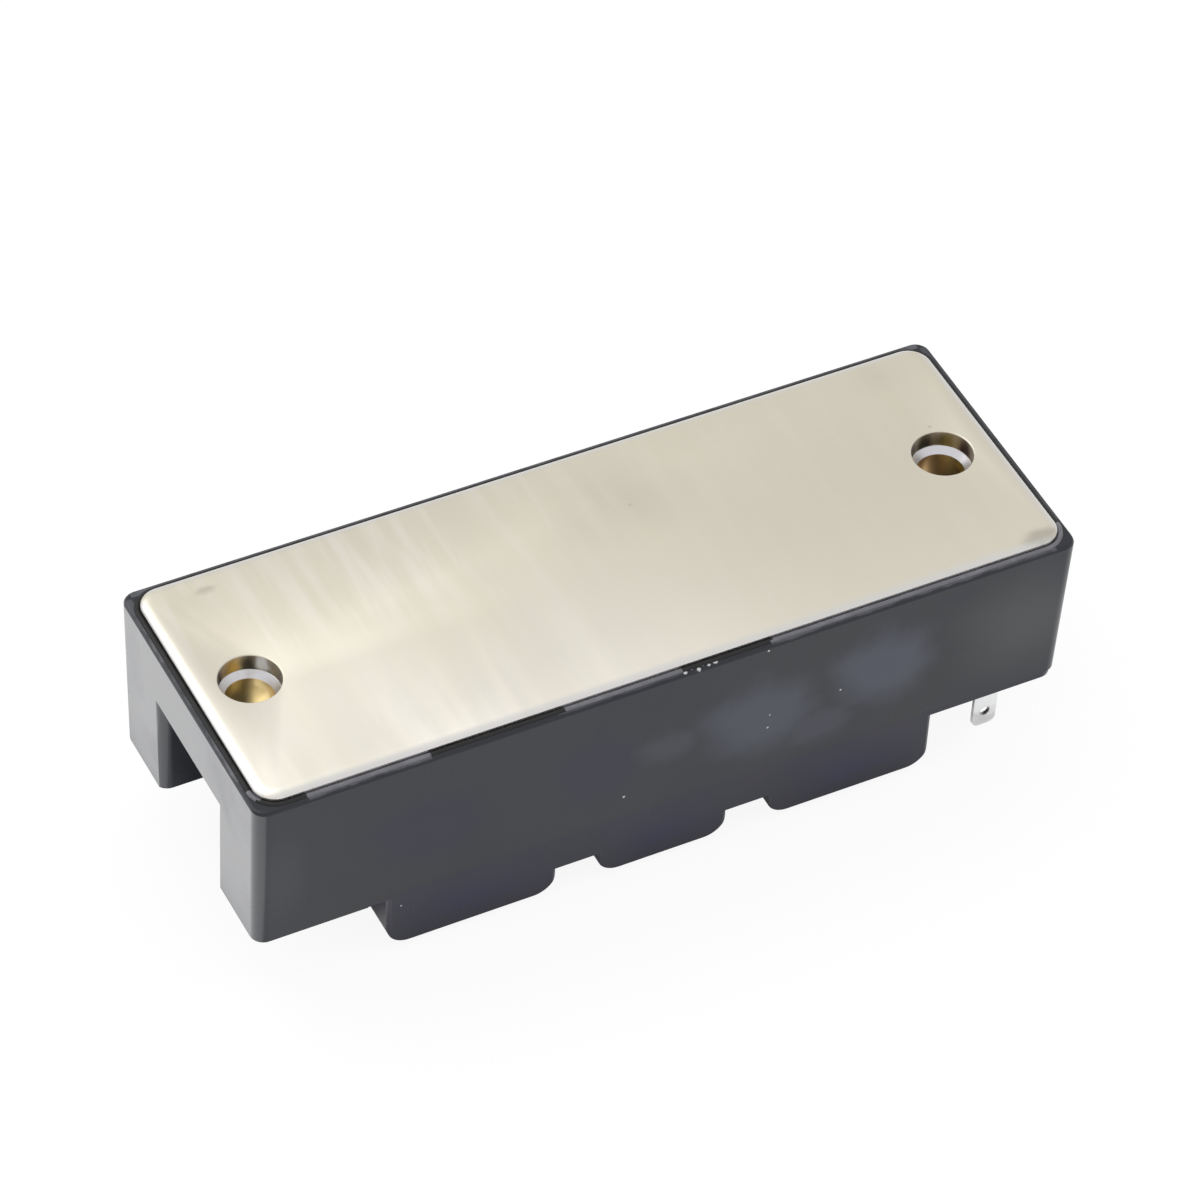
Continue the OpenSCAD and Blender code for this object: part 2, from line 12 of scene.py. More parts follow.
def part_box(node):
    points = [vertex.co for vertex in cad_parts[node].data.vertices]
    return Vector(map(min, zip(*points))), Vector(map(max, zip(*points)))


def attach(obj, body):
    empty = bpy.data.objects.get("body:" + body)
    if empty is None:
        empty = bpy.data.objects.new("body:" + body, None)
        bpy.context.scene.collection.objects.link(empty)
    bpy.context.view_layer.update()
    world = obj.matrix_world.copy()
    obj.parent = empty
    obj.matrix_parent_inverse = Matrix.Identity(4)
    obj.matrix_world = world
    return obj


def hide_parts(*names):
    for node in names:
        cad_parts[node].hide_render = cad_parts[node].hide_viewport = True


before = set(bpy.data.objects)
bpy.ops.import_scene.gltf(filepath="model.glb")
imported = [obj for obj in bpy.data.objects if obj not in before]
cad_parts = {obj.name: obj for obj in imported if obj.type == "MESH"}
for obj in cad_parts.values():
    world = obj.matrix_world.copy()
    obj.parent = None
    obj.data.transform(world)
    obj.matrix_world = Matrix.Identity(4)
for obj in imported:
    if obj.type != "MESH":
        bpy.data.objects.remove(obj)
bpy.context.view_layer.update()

bl_info = {
    "name": "Power Module",
    "version": (1, 0, 0),
    "blender": (4, 5, 0),
    "location": "View3D > Sidebar > Module",
    "description": "Dresses a 34 mm half-bridge power module and sets its stage",
    "category": "Object",
}

MM = 0.001

PLATE_LOW, PLATE_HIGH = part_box("base_plate")
RIM_LOW, RIM_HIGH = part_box("frame")
BUSHING_LOW, BUSHING_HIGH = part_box("mounting_bushings")
NUT_LOW, NUT_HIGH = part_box("terminal_nuts")
HOLE_X = (BUSHING_HIGH.x - BUSHING_LOW.x) / 2 - (BUSHING_HIGH.y - BUSHING_LOW.y) / 2
HOLE_R = 3.3 * MM
PLUG_TABS = ("tab_gate_near", "tab_source_near", "tab_source_far", "tab_gate_far")
TERMINALS = ("terminal_left", "terminal_middle", "terminal_right")

# How many steps the curved parts are made of
CIRCLE_STEPS = 72
CORNER_STEPS = 12
ROLL_STEPS = 8
HOLE_EDGE_STEPS = 4
BORE_STEPS = 40
NUT_STEPS = 48
STEPS_PER_TURN = 6

# Copied shapes: corners closer than this are one, faces closer to flat than this are one,
# and edges sharper than this are softened
WELD_DISTANCE = 0.002 * MM
FLAT_ANGLE = math.radians(0.6)
EDGE_ANGLE = math.radians(30.0)

# The bushings' bores are wider by this much at their lower end, and narrow over that height
BORE_FOOT = 0.2 * MM
NUT_BORE = 2.2 * MM
# The height of a nut's chamfer, as a share of how far the corners stand out past the flats,
# and how far the chamfer goes in for each step down
CHAMFER_SHARE, CHAMFER_SLOPE = 0.6, 1.6

# The sealant bead lies outside the plate's outline and under the rim's top
BEAD_OUTSIDE = 0.35 * MM
BEAD_BELOW = 0.12 * MM
BEAD_STEP = 0.35 * MM
BEAD_SIDES = 10
# Where the bead shows bare: on the near side along X in mm, and everywhere past the far start
BARE_STRETCHES = ((-50.0, -41.2), (-27.8, -12.5), (0.8, 11.0))
NEAR_BEAD_END = PLATE_LOW.y + 1.0 * MM
FAR_BEAD_START = PLATE_LOW.y + 2.6 * MM

# The stage, in metres, and the width of the camera's sensor in mm
FLOOR_RADIUS = 3.0
SENSOR_WIDTH = 36.0
CLOSEST_VIEW = 0.01
VIEW_TARGET = Vector((-2.36, -3.88, 28.2)) * MM
SOFT_LAMP_SIZE, SOFT_LAMP_PLACE = (0.80, 0.80), (-0.28, 0.46, 0.72)
SOFT_LAMP_TARGET = (0.0, 0.0, 0.03)
LOW_LAMP_SIZE, LOW_LAMP_PLACE = (0.044, 0.13), (-0.0710, 0.01, 0.0006)
LOW_LAMP_TARGET = (-0.071, 0.01, 0.1)
# The floor: its tone, from and to, its own glow, and the light that it still takes in
FLOOR_TONE = (0.80, 0.82)
FLOOR_GLOW = 0.9
DIM_FLOOR = (0.12, 0.12, 0.12, 1.0)
# Painted shadow on the floor that only reflections show: the floor close to the module, and the part
# under it
SHADE_REACH = 0.007
UNDER_SHADOW_HALF_SIZE = (45.0 * MM, 14.0 * MM, 10.0 * MM)
UNDER_SHADOW_MARGIN = 5.0 * MM
UNDER_SHADOW_SHARE = 0.85

# Colours of what lies on the plastic
DEEP_BLUE = (0.008, 0.011, 0.022)
GREY_MARK = (0.050, 0.052, 0.058)
WORN_EDGE = (0.08, 0.085, 0.095)
# Sealant film, its lighter colour a painted sheen
FILM_SHEEN_COLOUR = (0.155, 0.155, 0.175)
DUST_COLOUR = (0.60, 0.60, 0.61)
# Colours of the plating's parts, and of the tin's mottling
# Painted highlight: the plate made lighter towards the near side and the left
NICKEL_HIGHLIGHT_COLOUR = (0.99, 0.945, 0.85)
# Painted reflection bands and lines across the plate
REFLECTION_BAND_COLOUR = (0.62, 0.575, 0.49)
REFLECTION_LINE_COLOUR = (0.80, 0.775, 0.71)
STAIN_COLOUR = (0.69, 0.67, 0.52)
EDGE_COLOUR = (0.76, 0.76, 0.78)
SMUDGE_COLOUR = (0.30, 0.28, 0.24)
HOLE_HIGHLIGHT_COLOUR = (0.80, 0.80, 0.79)
TIN_STAIN = (0.5, 0.5, 0.49)

# How deep marks on the wall, crumbs and the film with its painted sheen on the rim reach
WALL_REACH = 2.0 * MM
CRUMB_REACH = 1.0 * MM
FILM_SHEEN_REACH = 0.12 * MM
# The two notches, which are duller inside
NOTCH_X, NOTCH_Z = 42.0 * MM, 12.0 * MM
NOTCH_HALF_SIZE = (4.4 * MM, 6.8 * MM, 12.5 * MM)

# Wiped marks on the near side wall, in mm along and up: centre, half sizes, strength
PALE_MARKS = (
    ((10.0, 16.8), (9.0, 8.2), 0.9),
    ((-0.5, 17.5), (5.0, 3.4), 0.4),
    ((24.5, 18.4), (8.0, 8.0), 1.0),
    ((17.0, 13.0), (6.0, 4.2), 0.5),
)
NAVY_MARKS = (
    ((-8.5, 17.0), (7.5, 8.5), 1.0),
    ((-0.5, 5.0), (9.5, 5.5), 0.9),
    ((-28.0, 17.0), (9.0, 7.5), 1.0),
    ((-22.0, 5.0), (12.5, 5.0), 0.9),
    ((22.0, 5.0), (11.5, 5.0), 0.9),
    ((33.0, 26.0), (3.0, 1.5), 0.6),
)
GREY_MARKS = (
    ((42.0, 18.0), (12.0, 12.0), 0.9),
    ((-44.0, 17.0), (4.0, 12.0), 0.3),
)
# Thin sealant film on the rim's top, its lighter colour a painted sheen, in mm: centre, half sizes,
# strength
RIM_FILM_AND_SHEEN = (
    ((-34.4, -16.50), (6.8, 0.45), 0.7),
    ((-6.4, -16.45), (7.2, 0.40), 0.4),
    ((27.6, -16.50), (16.8, 0.45), 0.6),
    ((-46.5, 9.0), (0.5, 2.6), 0.9),
    ((-46.4, -8.5), (0.5, 3.4), 1.0),
    ((-46.5, 1.5), (0.5, 14.5), 0.5),
    ((46.5, 1.5), (0.5, 14.5), 0.4),
    ((0.0, 16.5), (46.0, 0.5), 0.8),
)
# Dust on the near side wall: centre in mm along and up, radius in mm
DUST = (
    ((-5.2, 12.2), 0.20),
    ((10.4, 27.6), 0.17),
    ((11.3, 15.5), 0.16),
    ((11.4, 17.4), 0.12),
    ((19.7, 17.6), 0.16),
    ((-30.3, 6.6), 0.15),
)
# Pale crumbs on the near rim: centre in mm, radius in mm
CRUMBS = (
    ((0.9, -16.7), 0.20),
    ((1.7, -16.5), 0.14),
    ((2.4, -16.8), 0.20),
    ((3.0, -16.5), 0.12),
    ((3.6, -16.7), 0.16),
    ((4.4, -16.6), 0.24),
    ((10.6, -16.4), 0.12),
)
# Duller patches of the plate, in mm along and across: centre, half sizes, strength
DULL_PATCHES = (
    ((5.0, 7.5), (11.0, 8.0), 1.0),
    ((-29.0, 5.0), (7.0, 7.0), 0.6),
    ((-42.0, 12.0), (5.0, 5.0), 0.6),
    ((40.0, 13.0), (7.0, 4.0), 0.5),
)
# Small dark smudges on the plate, in mm along and across: centre, half sizes, strength
SMUDGES = (
    ((43.4, -15.0), (3.2, 1.4), 0.8),
    ((-39.0, 13.3), (1.6, 0.8), 0.6),
    ((6.4, 6.6), (0.35, 0.3), 0.5),
    ((40.7, 4.1), (0.35, 0.3), 0.6),
)
# Patches inside the bushings and the tabs' holes, in mm: centre, half sizes, colour, strength. In the
# right bushing a painted lighter patch and a painted glint, in the left one a darker patch, and painted
# shade in the tabs' holes
BRASS_PAINTED_LIGHT_AND_PATCH = (
    ((40.0, 2.4, 24.0), (3.2, 1.6, 4.5), (0.90, 0.58, 0.27), 0.8),
    ((42.5, 0.0, 26.2), (0.6, 1.0, 1.6), (0.99, 0.85, 0.32), 1.0),
    ((-38.6, 1.8, 24.5), (2.2, 2.2, 4.5), (0.56, 0.43, 0.20), 0.9),
)
TAB_HOLE_SHADE = (((40.0, 0.0, 2.9), (0.85, 30.0, 0.85), (0.07, 0.07, 0.08), 1.0),)
# Painted reflections and painted shade on the walls of the two holes in the plate: angle in degrees,
# colour, strength
LEFT_HOLE_LIGHT_AND_SHADE = (
    (140, (0.10, 0.06, 0.03), 1.0),
    (98, (0.55, 0.38, 0.11), 0.8),
    (68, (0.17, 0.17, 0.15), 1.0),
    (34, (0.98, 0.98, 0.96), 1.0),
    (-5, (0.40, 0.40, 0.39), 0.7),
)
RIGHT_HOLE_LIGHT_AND_SHADE = (
    (135, (0.24, 0.24, 0.20), 1.0),
    (95, (0.20, 0.20, 0.17), 1.0),
    (52, (0.36, 0.31, 0.15), 0.9),
    (12, (0.19, 0.16, 0.18), 1.0),
)
HOLE_PAINT_HALF_SIZE = (1.3 * MM, 1.3 * MM, 3.0 * MM)
# A matt pale spot on the left hole's wall, a painted highlight: place and half sizes
HOLE_HIGHLIGHT_X, HOLE_HIGHLIGHT_Y = -HOLE_X + 0.72 * HOLE_R, 0.69 * HOLE_R
HOLE_HIGHLIGHT_HALF_SIZE = (0.9 * MM, 0.9 * MM, 1.4 * MM)


# ---------- Settings ----------

def length_property(name, description, default):
    return bpy.props.FloatProperty(
        name=name, description=description, default=default, min=0.0, unit="LENGTH", precision=5
    )


def colour_property(name, description, default):
    return bpy.props.FloatVectorProperty(
        name=name, description=description, default=default, size=3, min=0.0, max=1.0,
        subtype="COLOR",
    )


def angle_property(name, description, degrees):
    return bpy.props.FloatProperty(
        name=name, description=description, default=math.radians(degrees), subtype="ANGLE"
    )


def power_property(name, description, default):
    return bpy.props.FloatProperty(
        name=name, description=description, default=default, min=0.0, unit="POWER"
    )


class HousingSettings(bpy.types.PropertyGroup):
    colour: colour_property("Frame plastic", "Colour of the frame's plastic", (0.012, 0.014, 0.020))
    cover: colour_property("Cover plastic", "Colour of the cover's plastic", (0.016, 0.016, 0.031))
    pale: colour_property("Pale marks", "Colour of the wiped marks", (0.058, 0.065, 0.094))
    roughness: bpy.props.FloatProperty(
        name="Roughness", description="Roughness of the plastic", default=0.26, min=0.0, max=1.0,
        subtype="FACTOR",
    )
    edge: length_property("Edge", "Width of the softened edges of the mouldings", 0.12 * MM)


class PlateSettings(bpy.types.PropertyGroup):
    colour: colour_property("Nickel", "Colour of the plating", (0.72, 0.672, 0.560))
    corner: length_property("Corner", "Radius of the plate's corners", 2.5 * MM)
    roll_width: length_property("Edge roll width", "How far in the rolled edge starts", 1.2 * MM)
    roll_depth: length_property("Edge roll depth", "How far the rolled edge falls", 0.45 * MM)
    hole_edge: length_property("Hole edge", "Radius of the rounded hole edges", 0.15 * MM)


class SealantSettings(bpy.types.PropertyGroup):
    # The film's lighter colour is partly a painted sheen
    film_sheen: colour_property("Film", "Colour of the thin sealant film", (0.14, 0.14, 0.16))
    colour: colour_property("Sealant", "Colour of the bare sealant", (0.004, 0.004, 0.004))
    bead: length_property("Bead", "Radius of the bead between plate and rim", 0.32 * MM)
    uneven: length_property("Unevenness", "How far the bead wanders", 0.10 * MM)


class BushingSettings(bpy.types.PropertyGroup):
    colour: colour_property("Brass", "Colour of the bore", (0.66, 0.53, 0.27))
    plated: colour_property("Plated", "Colour of the plated countersink", (0.72, 0.71, 0.74))
    bore: length_property("Bore", "Radius of the bore", 2.6 * MM)
    sink: length_property("Countersink", "Depth of the countersink", 0.66 * MM)
    groove: length_property("Tool marks", "Depth of the turned marks in the bore", 0.012 * MM)


class ContactSettings(bpy.types.PropertyGroup):
    tin: colour_property("Tin", "Colour of the tinned strips", (0.84, 0.845, 0.85))
    zinc: colour_property("Zinc", "Colour of the plated nuts", (0.60, 0.61, 0.62))
    edge: length_property("Edge", "Width of the softened edges of the strips", 0.06 * MM)
    thread: length_property("Thread", "Depth of the nut's thread", 0.3 * MM)
    pitch: length_property("Thread pitch", "Distance between the turns of the thread", 0.8 * MM)


class StageSettings(bpy.types.PropertyGroup):
    azimuth: angle_property("Azimuth", "Where the camera stands, around the module", -29.292)
    elevation: angle_property("Elevation", "How far the camera looks down", 45.296)
    roll: angle_property("Roll", "How far the camera leans", 3.597)
    distance: length_property("Distance", "From the camera to the point it looks at", 626.83 * MM)
    lens: bpy.props.FloatProperty(
        name="Lens", description="Focal length for the sensor's width", default=183.16, min=1.0,
        unit="CAMERA",
    )
    room: bpy.props.FloatProperty(
        name="Room light", description="Strength of the light from all around", default=0.85, min=0.0
    )
    lamp: power_property("Lamp", "Power of the soft lamp behind the module", 2.25)
    low_lamp: power_property("Low lamp", "Power of the low lamp beside the left end", 0.0235)


SETTINGS = {
    "module_housing": HousingSettings,
    "module_plate": PlateSettings,
    "module_sealant": SealantSettings,
    "module_bushings": BushingSettings,
    "module_contacts": ContactSettings,
    "module_stage": StageSettings,
}


# ---------- Node building ----------

FLOAT, VECTOR = "NodeSocketFloat", "NodeSocketVector"


def add_node(tree, kind, values=None, **settings):
    """Adds a node; values are numbers, or sockets to link, by input name or number."""
    node = tree.nodes.new(kind)
    for name, value in settings.items():
        setattr(node, name, value)
    for key, value in (values or {}).items():
        if isinstance(value, bpy.types.NodeSocket):
            tree.links.new(value, node.inputs[key])
        else:
            node.inputs[key].default_value = value
    return node


def maths(tree, operation, first, second):
    return add_node(tree, "ShaderNodeMath", {0: first, 1: second}, operation=operation).outputs[0]


def times(tree, first, second):
    return maths(tree, "MULTIPLY", first, second)


def plus(tree, first, second):
    return maths(tree, "ADD", first, second)


def minus(tree, first, second):
    return maths(tree, "SUBTRACT", first, second)


def largest(tree, first, *others):
    for other in others:
        first = maths(tree, "MAXIMUM", first, other)
    return first


def vector_maths(tree, operation, first, second=(0.0, 0.0, 0.0), output="Vector"):
    return add_node(
        tree, "ShaderNodeVectorMath", {0: first, 1: second}, operation=operation
    ).outputs[output]


def parts_of(tree, vector):
    """The X, Y and Z of a vector."""
    return add_node(tree, "ShaderNodeSeparateXYZ", {0: vector}).outputs


def blend_colours(tree, factor, first, second):
    node = add_node(tree, "ShaderNodeMix", data_type="RGBA")
    for socket, value in ((node.inputs[0], factor), (node.inputs[6], first), (node.inputs[7], second)):
        if isinstance(value, bpy.types.NodeSocket):
            tree.links.new(value, socket)
        elif socket.type == "RGBA":
            socket.default_value = (*value, 1.0)
        else:
            socket.default_value = value
    return node.outputs[2]


def ramp(tree, factor, low, high, out_low=0.0, out_high=1.0):
    """A smooth step from one value to another."""
    return add_node(
        tree, "ShaderNodeMapRange",
        {"Value": factor, "From Min": low, "From Max": high, "To Min": out_low, "To Max": out_high},
        interpolation_type="SMOOTHSTEP",
    ).outputs["Result"]


def noise(tree, vector, scale, detail=3.0, distortion=0.0):
    return add_node(
        tree, "ShaderNodeTexNoise",
        {"Vector": vector, "Scale": scale, "Detail": detail, "Distortion": distortion},
    ).outputs["Fac"]


def new_group(name, output, inputs):
    """A shader node group: a place and the inputs (name, kind, default) in, one number out."""
    tree = bpy.data.node_groups.new(name, "ShaderNodeTree")
    tree.interface.new_socket("Vector", in_out="INPUT", socket_type=VECTOR)
    for input_name, kind, default in inputs:
        socket = tree.interface.new_socket(input_name, in_out="INPUT", socket_type=kind)
        socket.default_value = default
    tree.interface.new_socket(output, in_out="OUTPUT", socket_type=FLOAT)
    given = tree.nodes.new("NodeGroupInput").outputs
    return tree, given, given["Vector"], tree.nodes.new("NodeGroupOutput").inputs[output]


def grain_group():
    """Fine moulded or blasted grain, as a height."""
    tree, given, where, result = new_group("Grain", "Height", [("Scale", FLOAT, 4000.0)])
    fine = noise(tree, where, given["Scale"], 2.0)
    coarse = noise(tree, where, times(tree, given["Scale"], 0.2), 2.0)
    tree.links.new(plus(tree, fine, times(tree, coarse, 0.6)), result)
    return tree


def blotch_group():
    """Soft uneven patches, such as handling leaves, as a mask."""
    tree, given, where, result = new_group(
        "Blotches", "Mask", [("Scale", FLOAT, 60.0), ("Low", FLOAT, 0.45), ("High", FLOAT, 0.65)]
    )
    cloud = noise(tree, where, given["Scale"], 3.0, 0.6)
    tree.links.new(ramp(tree, cloud, given["Low"], given["High"]), result)
    return tree


def spot_group():
    """One soft-edged oval spot, as a mask."""
    tree, given, where, result = new_group("Spot", "Mask", [
        ("Centre", VECTOR, (0.0, 0.0, 0.0)), ("Half Size", VECTOR, (0.01, 0.01, 0.01)),
        ("Softness", FLOAT, 0.5), ("Ragged", FLOAT, 0.0),
    ])
    away = vector_maths(tree, "SUBTRACT", where, given["Centre"])
    scaled = vector_maths(tree, "DIVIDE", away, given["Half Size"])
    reach = vector_maths(tree, "LENGTH", scaled, output="Value")
    cloud = minus(tree, noise(tree, scaled, 1.4), 0.5)
    reach = plus(tree, reach, times(tree, cloud, given["Ragged"]))
    inner = minus(tree, 1.0, given["Softness"])
    tree.links.new(ramp(tree, reach, inner, 1.0, 1.0, 0.0), result)
    return tree


def patch_group():
    """One rectangular patch with a soft ragged edge, as a mask."""
    tree, given, where, result = new_group("Patch", "Mask", [
        ("Centre", VECTOR, (0.0, 0.0, 0.0)), ("Half Size", VECTOR, (0.01, 0.01, 0.01)),
        ("Margin", FLOAT, 0.0001), ("Ragged", FLOAT, 0.0001), ("Grain", FLOAT, 500.0),
    ])
    away = vector_maths(tree, "ABSOLUTE", vector_maths(tree, "SUBTRACT", where, given["Centre"]))
    past = parts_of(tree, vector_maths(tree, "SUBTRACT", away, given["Half Size"]))
    furthest = largest(tree, past[1], past[2], past[0])
    cloud = minus(tree, noise(tree, where, given["Grain"]), 0.5)
    furthest = plus(tree, furthest, times(tree, cloud, given["Ragged"]))
    inner = times(tree, given["Margin"], -1.0)
    tree.links.new(ramp(tree, furthest, inner, 0.0, 1.0, 0.0), result)
    return tree


def streak_group():
    """Long soft streaks that run along Y, as a mask."""
    tree, given, where, result = new_group("Streaks", "Mask", [
        ("Scale", FLOAT, 150.0), ("Stretch", FLOAT, 0.08), ("Detail", FLOAT, 3.0),
    ])
    stretch = add_node(tree, "ShaderNodeCombineXYZ", {"X": 1.0, "Y": given["Stretch"], "Z": 1.0})
    along = vector_maths(tree, "MULTIPLY", where, stretch.outputs[0])
    tree.links.new(noise(tree, along, given["Scale"], given["Detail"]), result)
    return tree


def dust_group():
    """Sparse small specks, as a mask."""
    tree, given, where, result = new_group("Dust", "Mask", [
        ("Scale", FLOAT, 180.0), ("Size", FLOAT, 0.02), ("Share", FLOAT, 0.06),
    ])
    cells = add_node(tree, "ShaderNodeTexVoronoi", {"Vector": where, "Scale": given["Scale"]})
    near = maths(tree, "LESS_THAN", cells.outputs["Distance"], given["Size"])
    pick = add_node(tree, "ShaderNodeSeparateColor", {"Color": cells.outputs["Color"]}).outputs[0]
    tree.links.new(times(tree, near, maths(tree, "LESS_THAN", pick, given["Share"])), result)
    return tree


GROUP_MAKERS = {
    "Grain": grain_group, "Blotches": blotch_group, "Spot": spot_group, "Patch": patch_group,
    "Streaks": streak_group, "Dust": dust_group,
}


def place_group(tree, name, where, values):
    """Places a shared effect in a material, building its group the first time."""
    group = bpy.data.node_groups.get(name) or GROUP_MAKERS[name]()
    return add_node(tree, "ShaderNodeGroup", {"Vector": where, **values}, node_tree=group).outputs[0]


def blotches_in(tree, where, scale, low=0.4, high=0.7):
    return place_group(tree, "Blotches", where, {"Scale": scale, "Low": low, "High": high})


def streaks_in(tree, where, scale, stretch, detail=3.0):
    return place_group(tree, "Streaks", where, {"Scale": scale, "Stretch": stretch, "Detail": detail})


def strongest(tree, effect, where, places, look):
    """The strongest of one effect's masks at several places: centre, half sizes, strength."""
    total = 0.0
    for centre, half_size, strength in places:
        mask = place_group(tree, effect, where, {"Centre": centre, "Half Size": half_size, **look})
        total = largest(tree, total, times(tree, mask, strength))
    return total


def layered(tree, colour, layers):
    """The colour under several layers: mask, how much of it counts, the layer's colour."""
    for mask, share, tint in layers:
        colour = blend_colours(tree, times(tree, mask, share), colour, tint)
    return colour


def start_material(name):
    """A material with a shader, and the object's own coordinates."""
    material = bpy.data.materials.new(name)
    material.use_nodes = True
    tree = material.node_tree
    shader = tree.nodes["Principled BSDF"]
    where = add_node(tree, "ShaderNodeTexCoord").outputs["Object"]
    return material, tree, shader, where


def feed(tree, shader, **inputs):
    """Links sockets to the shader's inputs, named with underscores for their spaces."""
    for name, socket in inputs.items():
        tree.links.new(socket, shader.inputs[name.replace("_", " ")])


def add_bump(tree, shader, height, distance, strength):
    values = {"Height": height, "Distance": distance, "Strength": strength}
    feed(tree, shader, Normal=add_node(tree, "ShaderNodeBump", values).outputs["Normal"])


def add_grain(tree, shader, where, scale, distance, strength=0.5):
    add_bump(tree, shader, place_group(tree, "Grain", where, {"Scale": scale}), distance, strength)


def edge_mask(tree):
    """The softened edges that softened_copy marks on a piece."""
    return add_node(tree, "ShaderNodeAttribute", attribute_name="edge").outputs["Fac"]


# ---------- Materials ----------

def on_near_wall(marks):
    """Marks in mm along and up, as places on the near side wall."""
    return [
        ((along * MM, RIM_LOW.y, up * MM), (half_along * MM, WALL_REACH, half_up * MM), strength)
        for (along, up), (half_along, half_up), strength in marks
    ]


def on_level(marks, height, reach):
    """Marks in mm along and across, as places on a level face."""
    return [
        ((x * MM, y * MM, height), (half_x * MM, half_y * MM, reach), strength)
        for (x, y), (half_x, half_y), strength in marks
    ]


def plastic_material(name, base, settings):
    """Moulded plastic with wiped marks, worn edges, sealant film whose lighter colour is a painted sheen,
    crumbs and dust.
    """
    material, tree, shader, where = start_material(name)
    pale = strongest(tree, "Spot", where, on_near_wall(PALE_MARKS), {"Softness": 0.7, "Ragged": 0.8})
    navy = strongest(tree, "Spot", where, on_near_wall(NAVY_MARKS), {"Softness": 0.7, "Ragged": 0.9})
    grey = strongest(tree, "Spot", where, on_near_wall(GREY_MARKS), {"Softness": 0.9, "Ragged": 0.5})
    grains = [(place, (size, size), 1.0) for place, size in DUST]
    specks = strongest(tree, "Spot", where, on_near_wall(grains), {"Softness": 0.5, "Ragged": 0.0})
    crumbs = [(place, (1.4 * size, size), 1.0) for place, size in CRUMBS]
    crumbs = strongest(
        tree, "Spot", where, on_level(crumbs, RIM_HIGH.z, CRUMB_REACH), {"Softness": 0.5, "Ragged": 0.8}
    )
    film_sheen = strongest(
        tree, "Patch", where, on_level(RIM_FILM_AND_SHEEN, RIM_HIGH.z, FILM_SHEEN_REACH),
        {"Margin": 0.15 * MM, "Ragged": 0.3 * MM},
    )
    notches = strongest(
        tree, "Patch", where,
        [((side * NOTCH_X, 0.0, NOTCH_Z), NOTCH_HALF_SIZE, 1.0) for side in (-1, 1)],
        {"Margin": 0.5 * MM, "Ragged": 0.0},
    )
    blotches = blotches_in(tree, where, 70.0)
    dust = place_group(tree, "Dust", where, {"Scale": 220.0, "Size": 0.020, "Share": 0.012})
    worn = times(tree, edge_mask(tree), blotches_in(tree, where, 900.0, low=0.35))
    feed(tree, shader, Base_Color=layered(tree, base, (
        (blotches, 0.5, DEEP_BLUE),
        (navy, 1.0, (0.7 * base[0], 0.7 * base[1], 1.4 * base[2])),
        (grey, 1.0, GREY_MARK),
        (pale, 1.0, settings.pale),
        (worn, 0.35, WORN_EDGE),
        (film_sheen, 0.8, FILM_SHEEN_COLOUR),
        (largest(tree, specks, crumbs, dust), 1.0, DUST_COLOUR),
    )))
    roughness = plus(tree, settings.roughness, times(tree, blotches, 0.06))
    roughness = plus(tree, roughness, times(tree, pale, 0.08))
    roughness = minus(tree, roughness, times(tree, worn, 0.08))
    feed(tree, shader, Roughness=plus(tree, roughness, times(tree, notches, 0.3)))
    shader.inputs["IOR"].default_value = 1.45
    add_grain(tree, shader, where, 5200.0, 0.004 * MM)
    return material


def plate_rim_mask(tree, where, width):
    """How close a place is to the base plate's outline, from 0 inside to 1 on it."""
    inner = (PLATE_HIGH.x - width, PLATE_HIGH.y - width, 0.0)
    past = parts_of(tree, vector_maths(tree, "SUBTRACT", vector_maths(tree, "ABSOLUTE", where), inner))
    return ramp(tree, largest(tree, past[0], past[1]), 0.0, width)


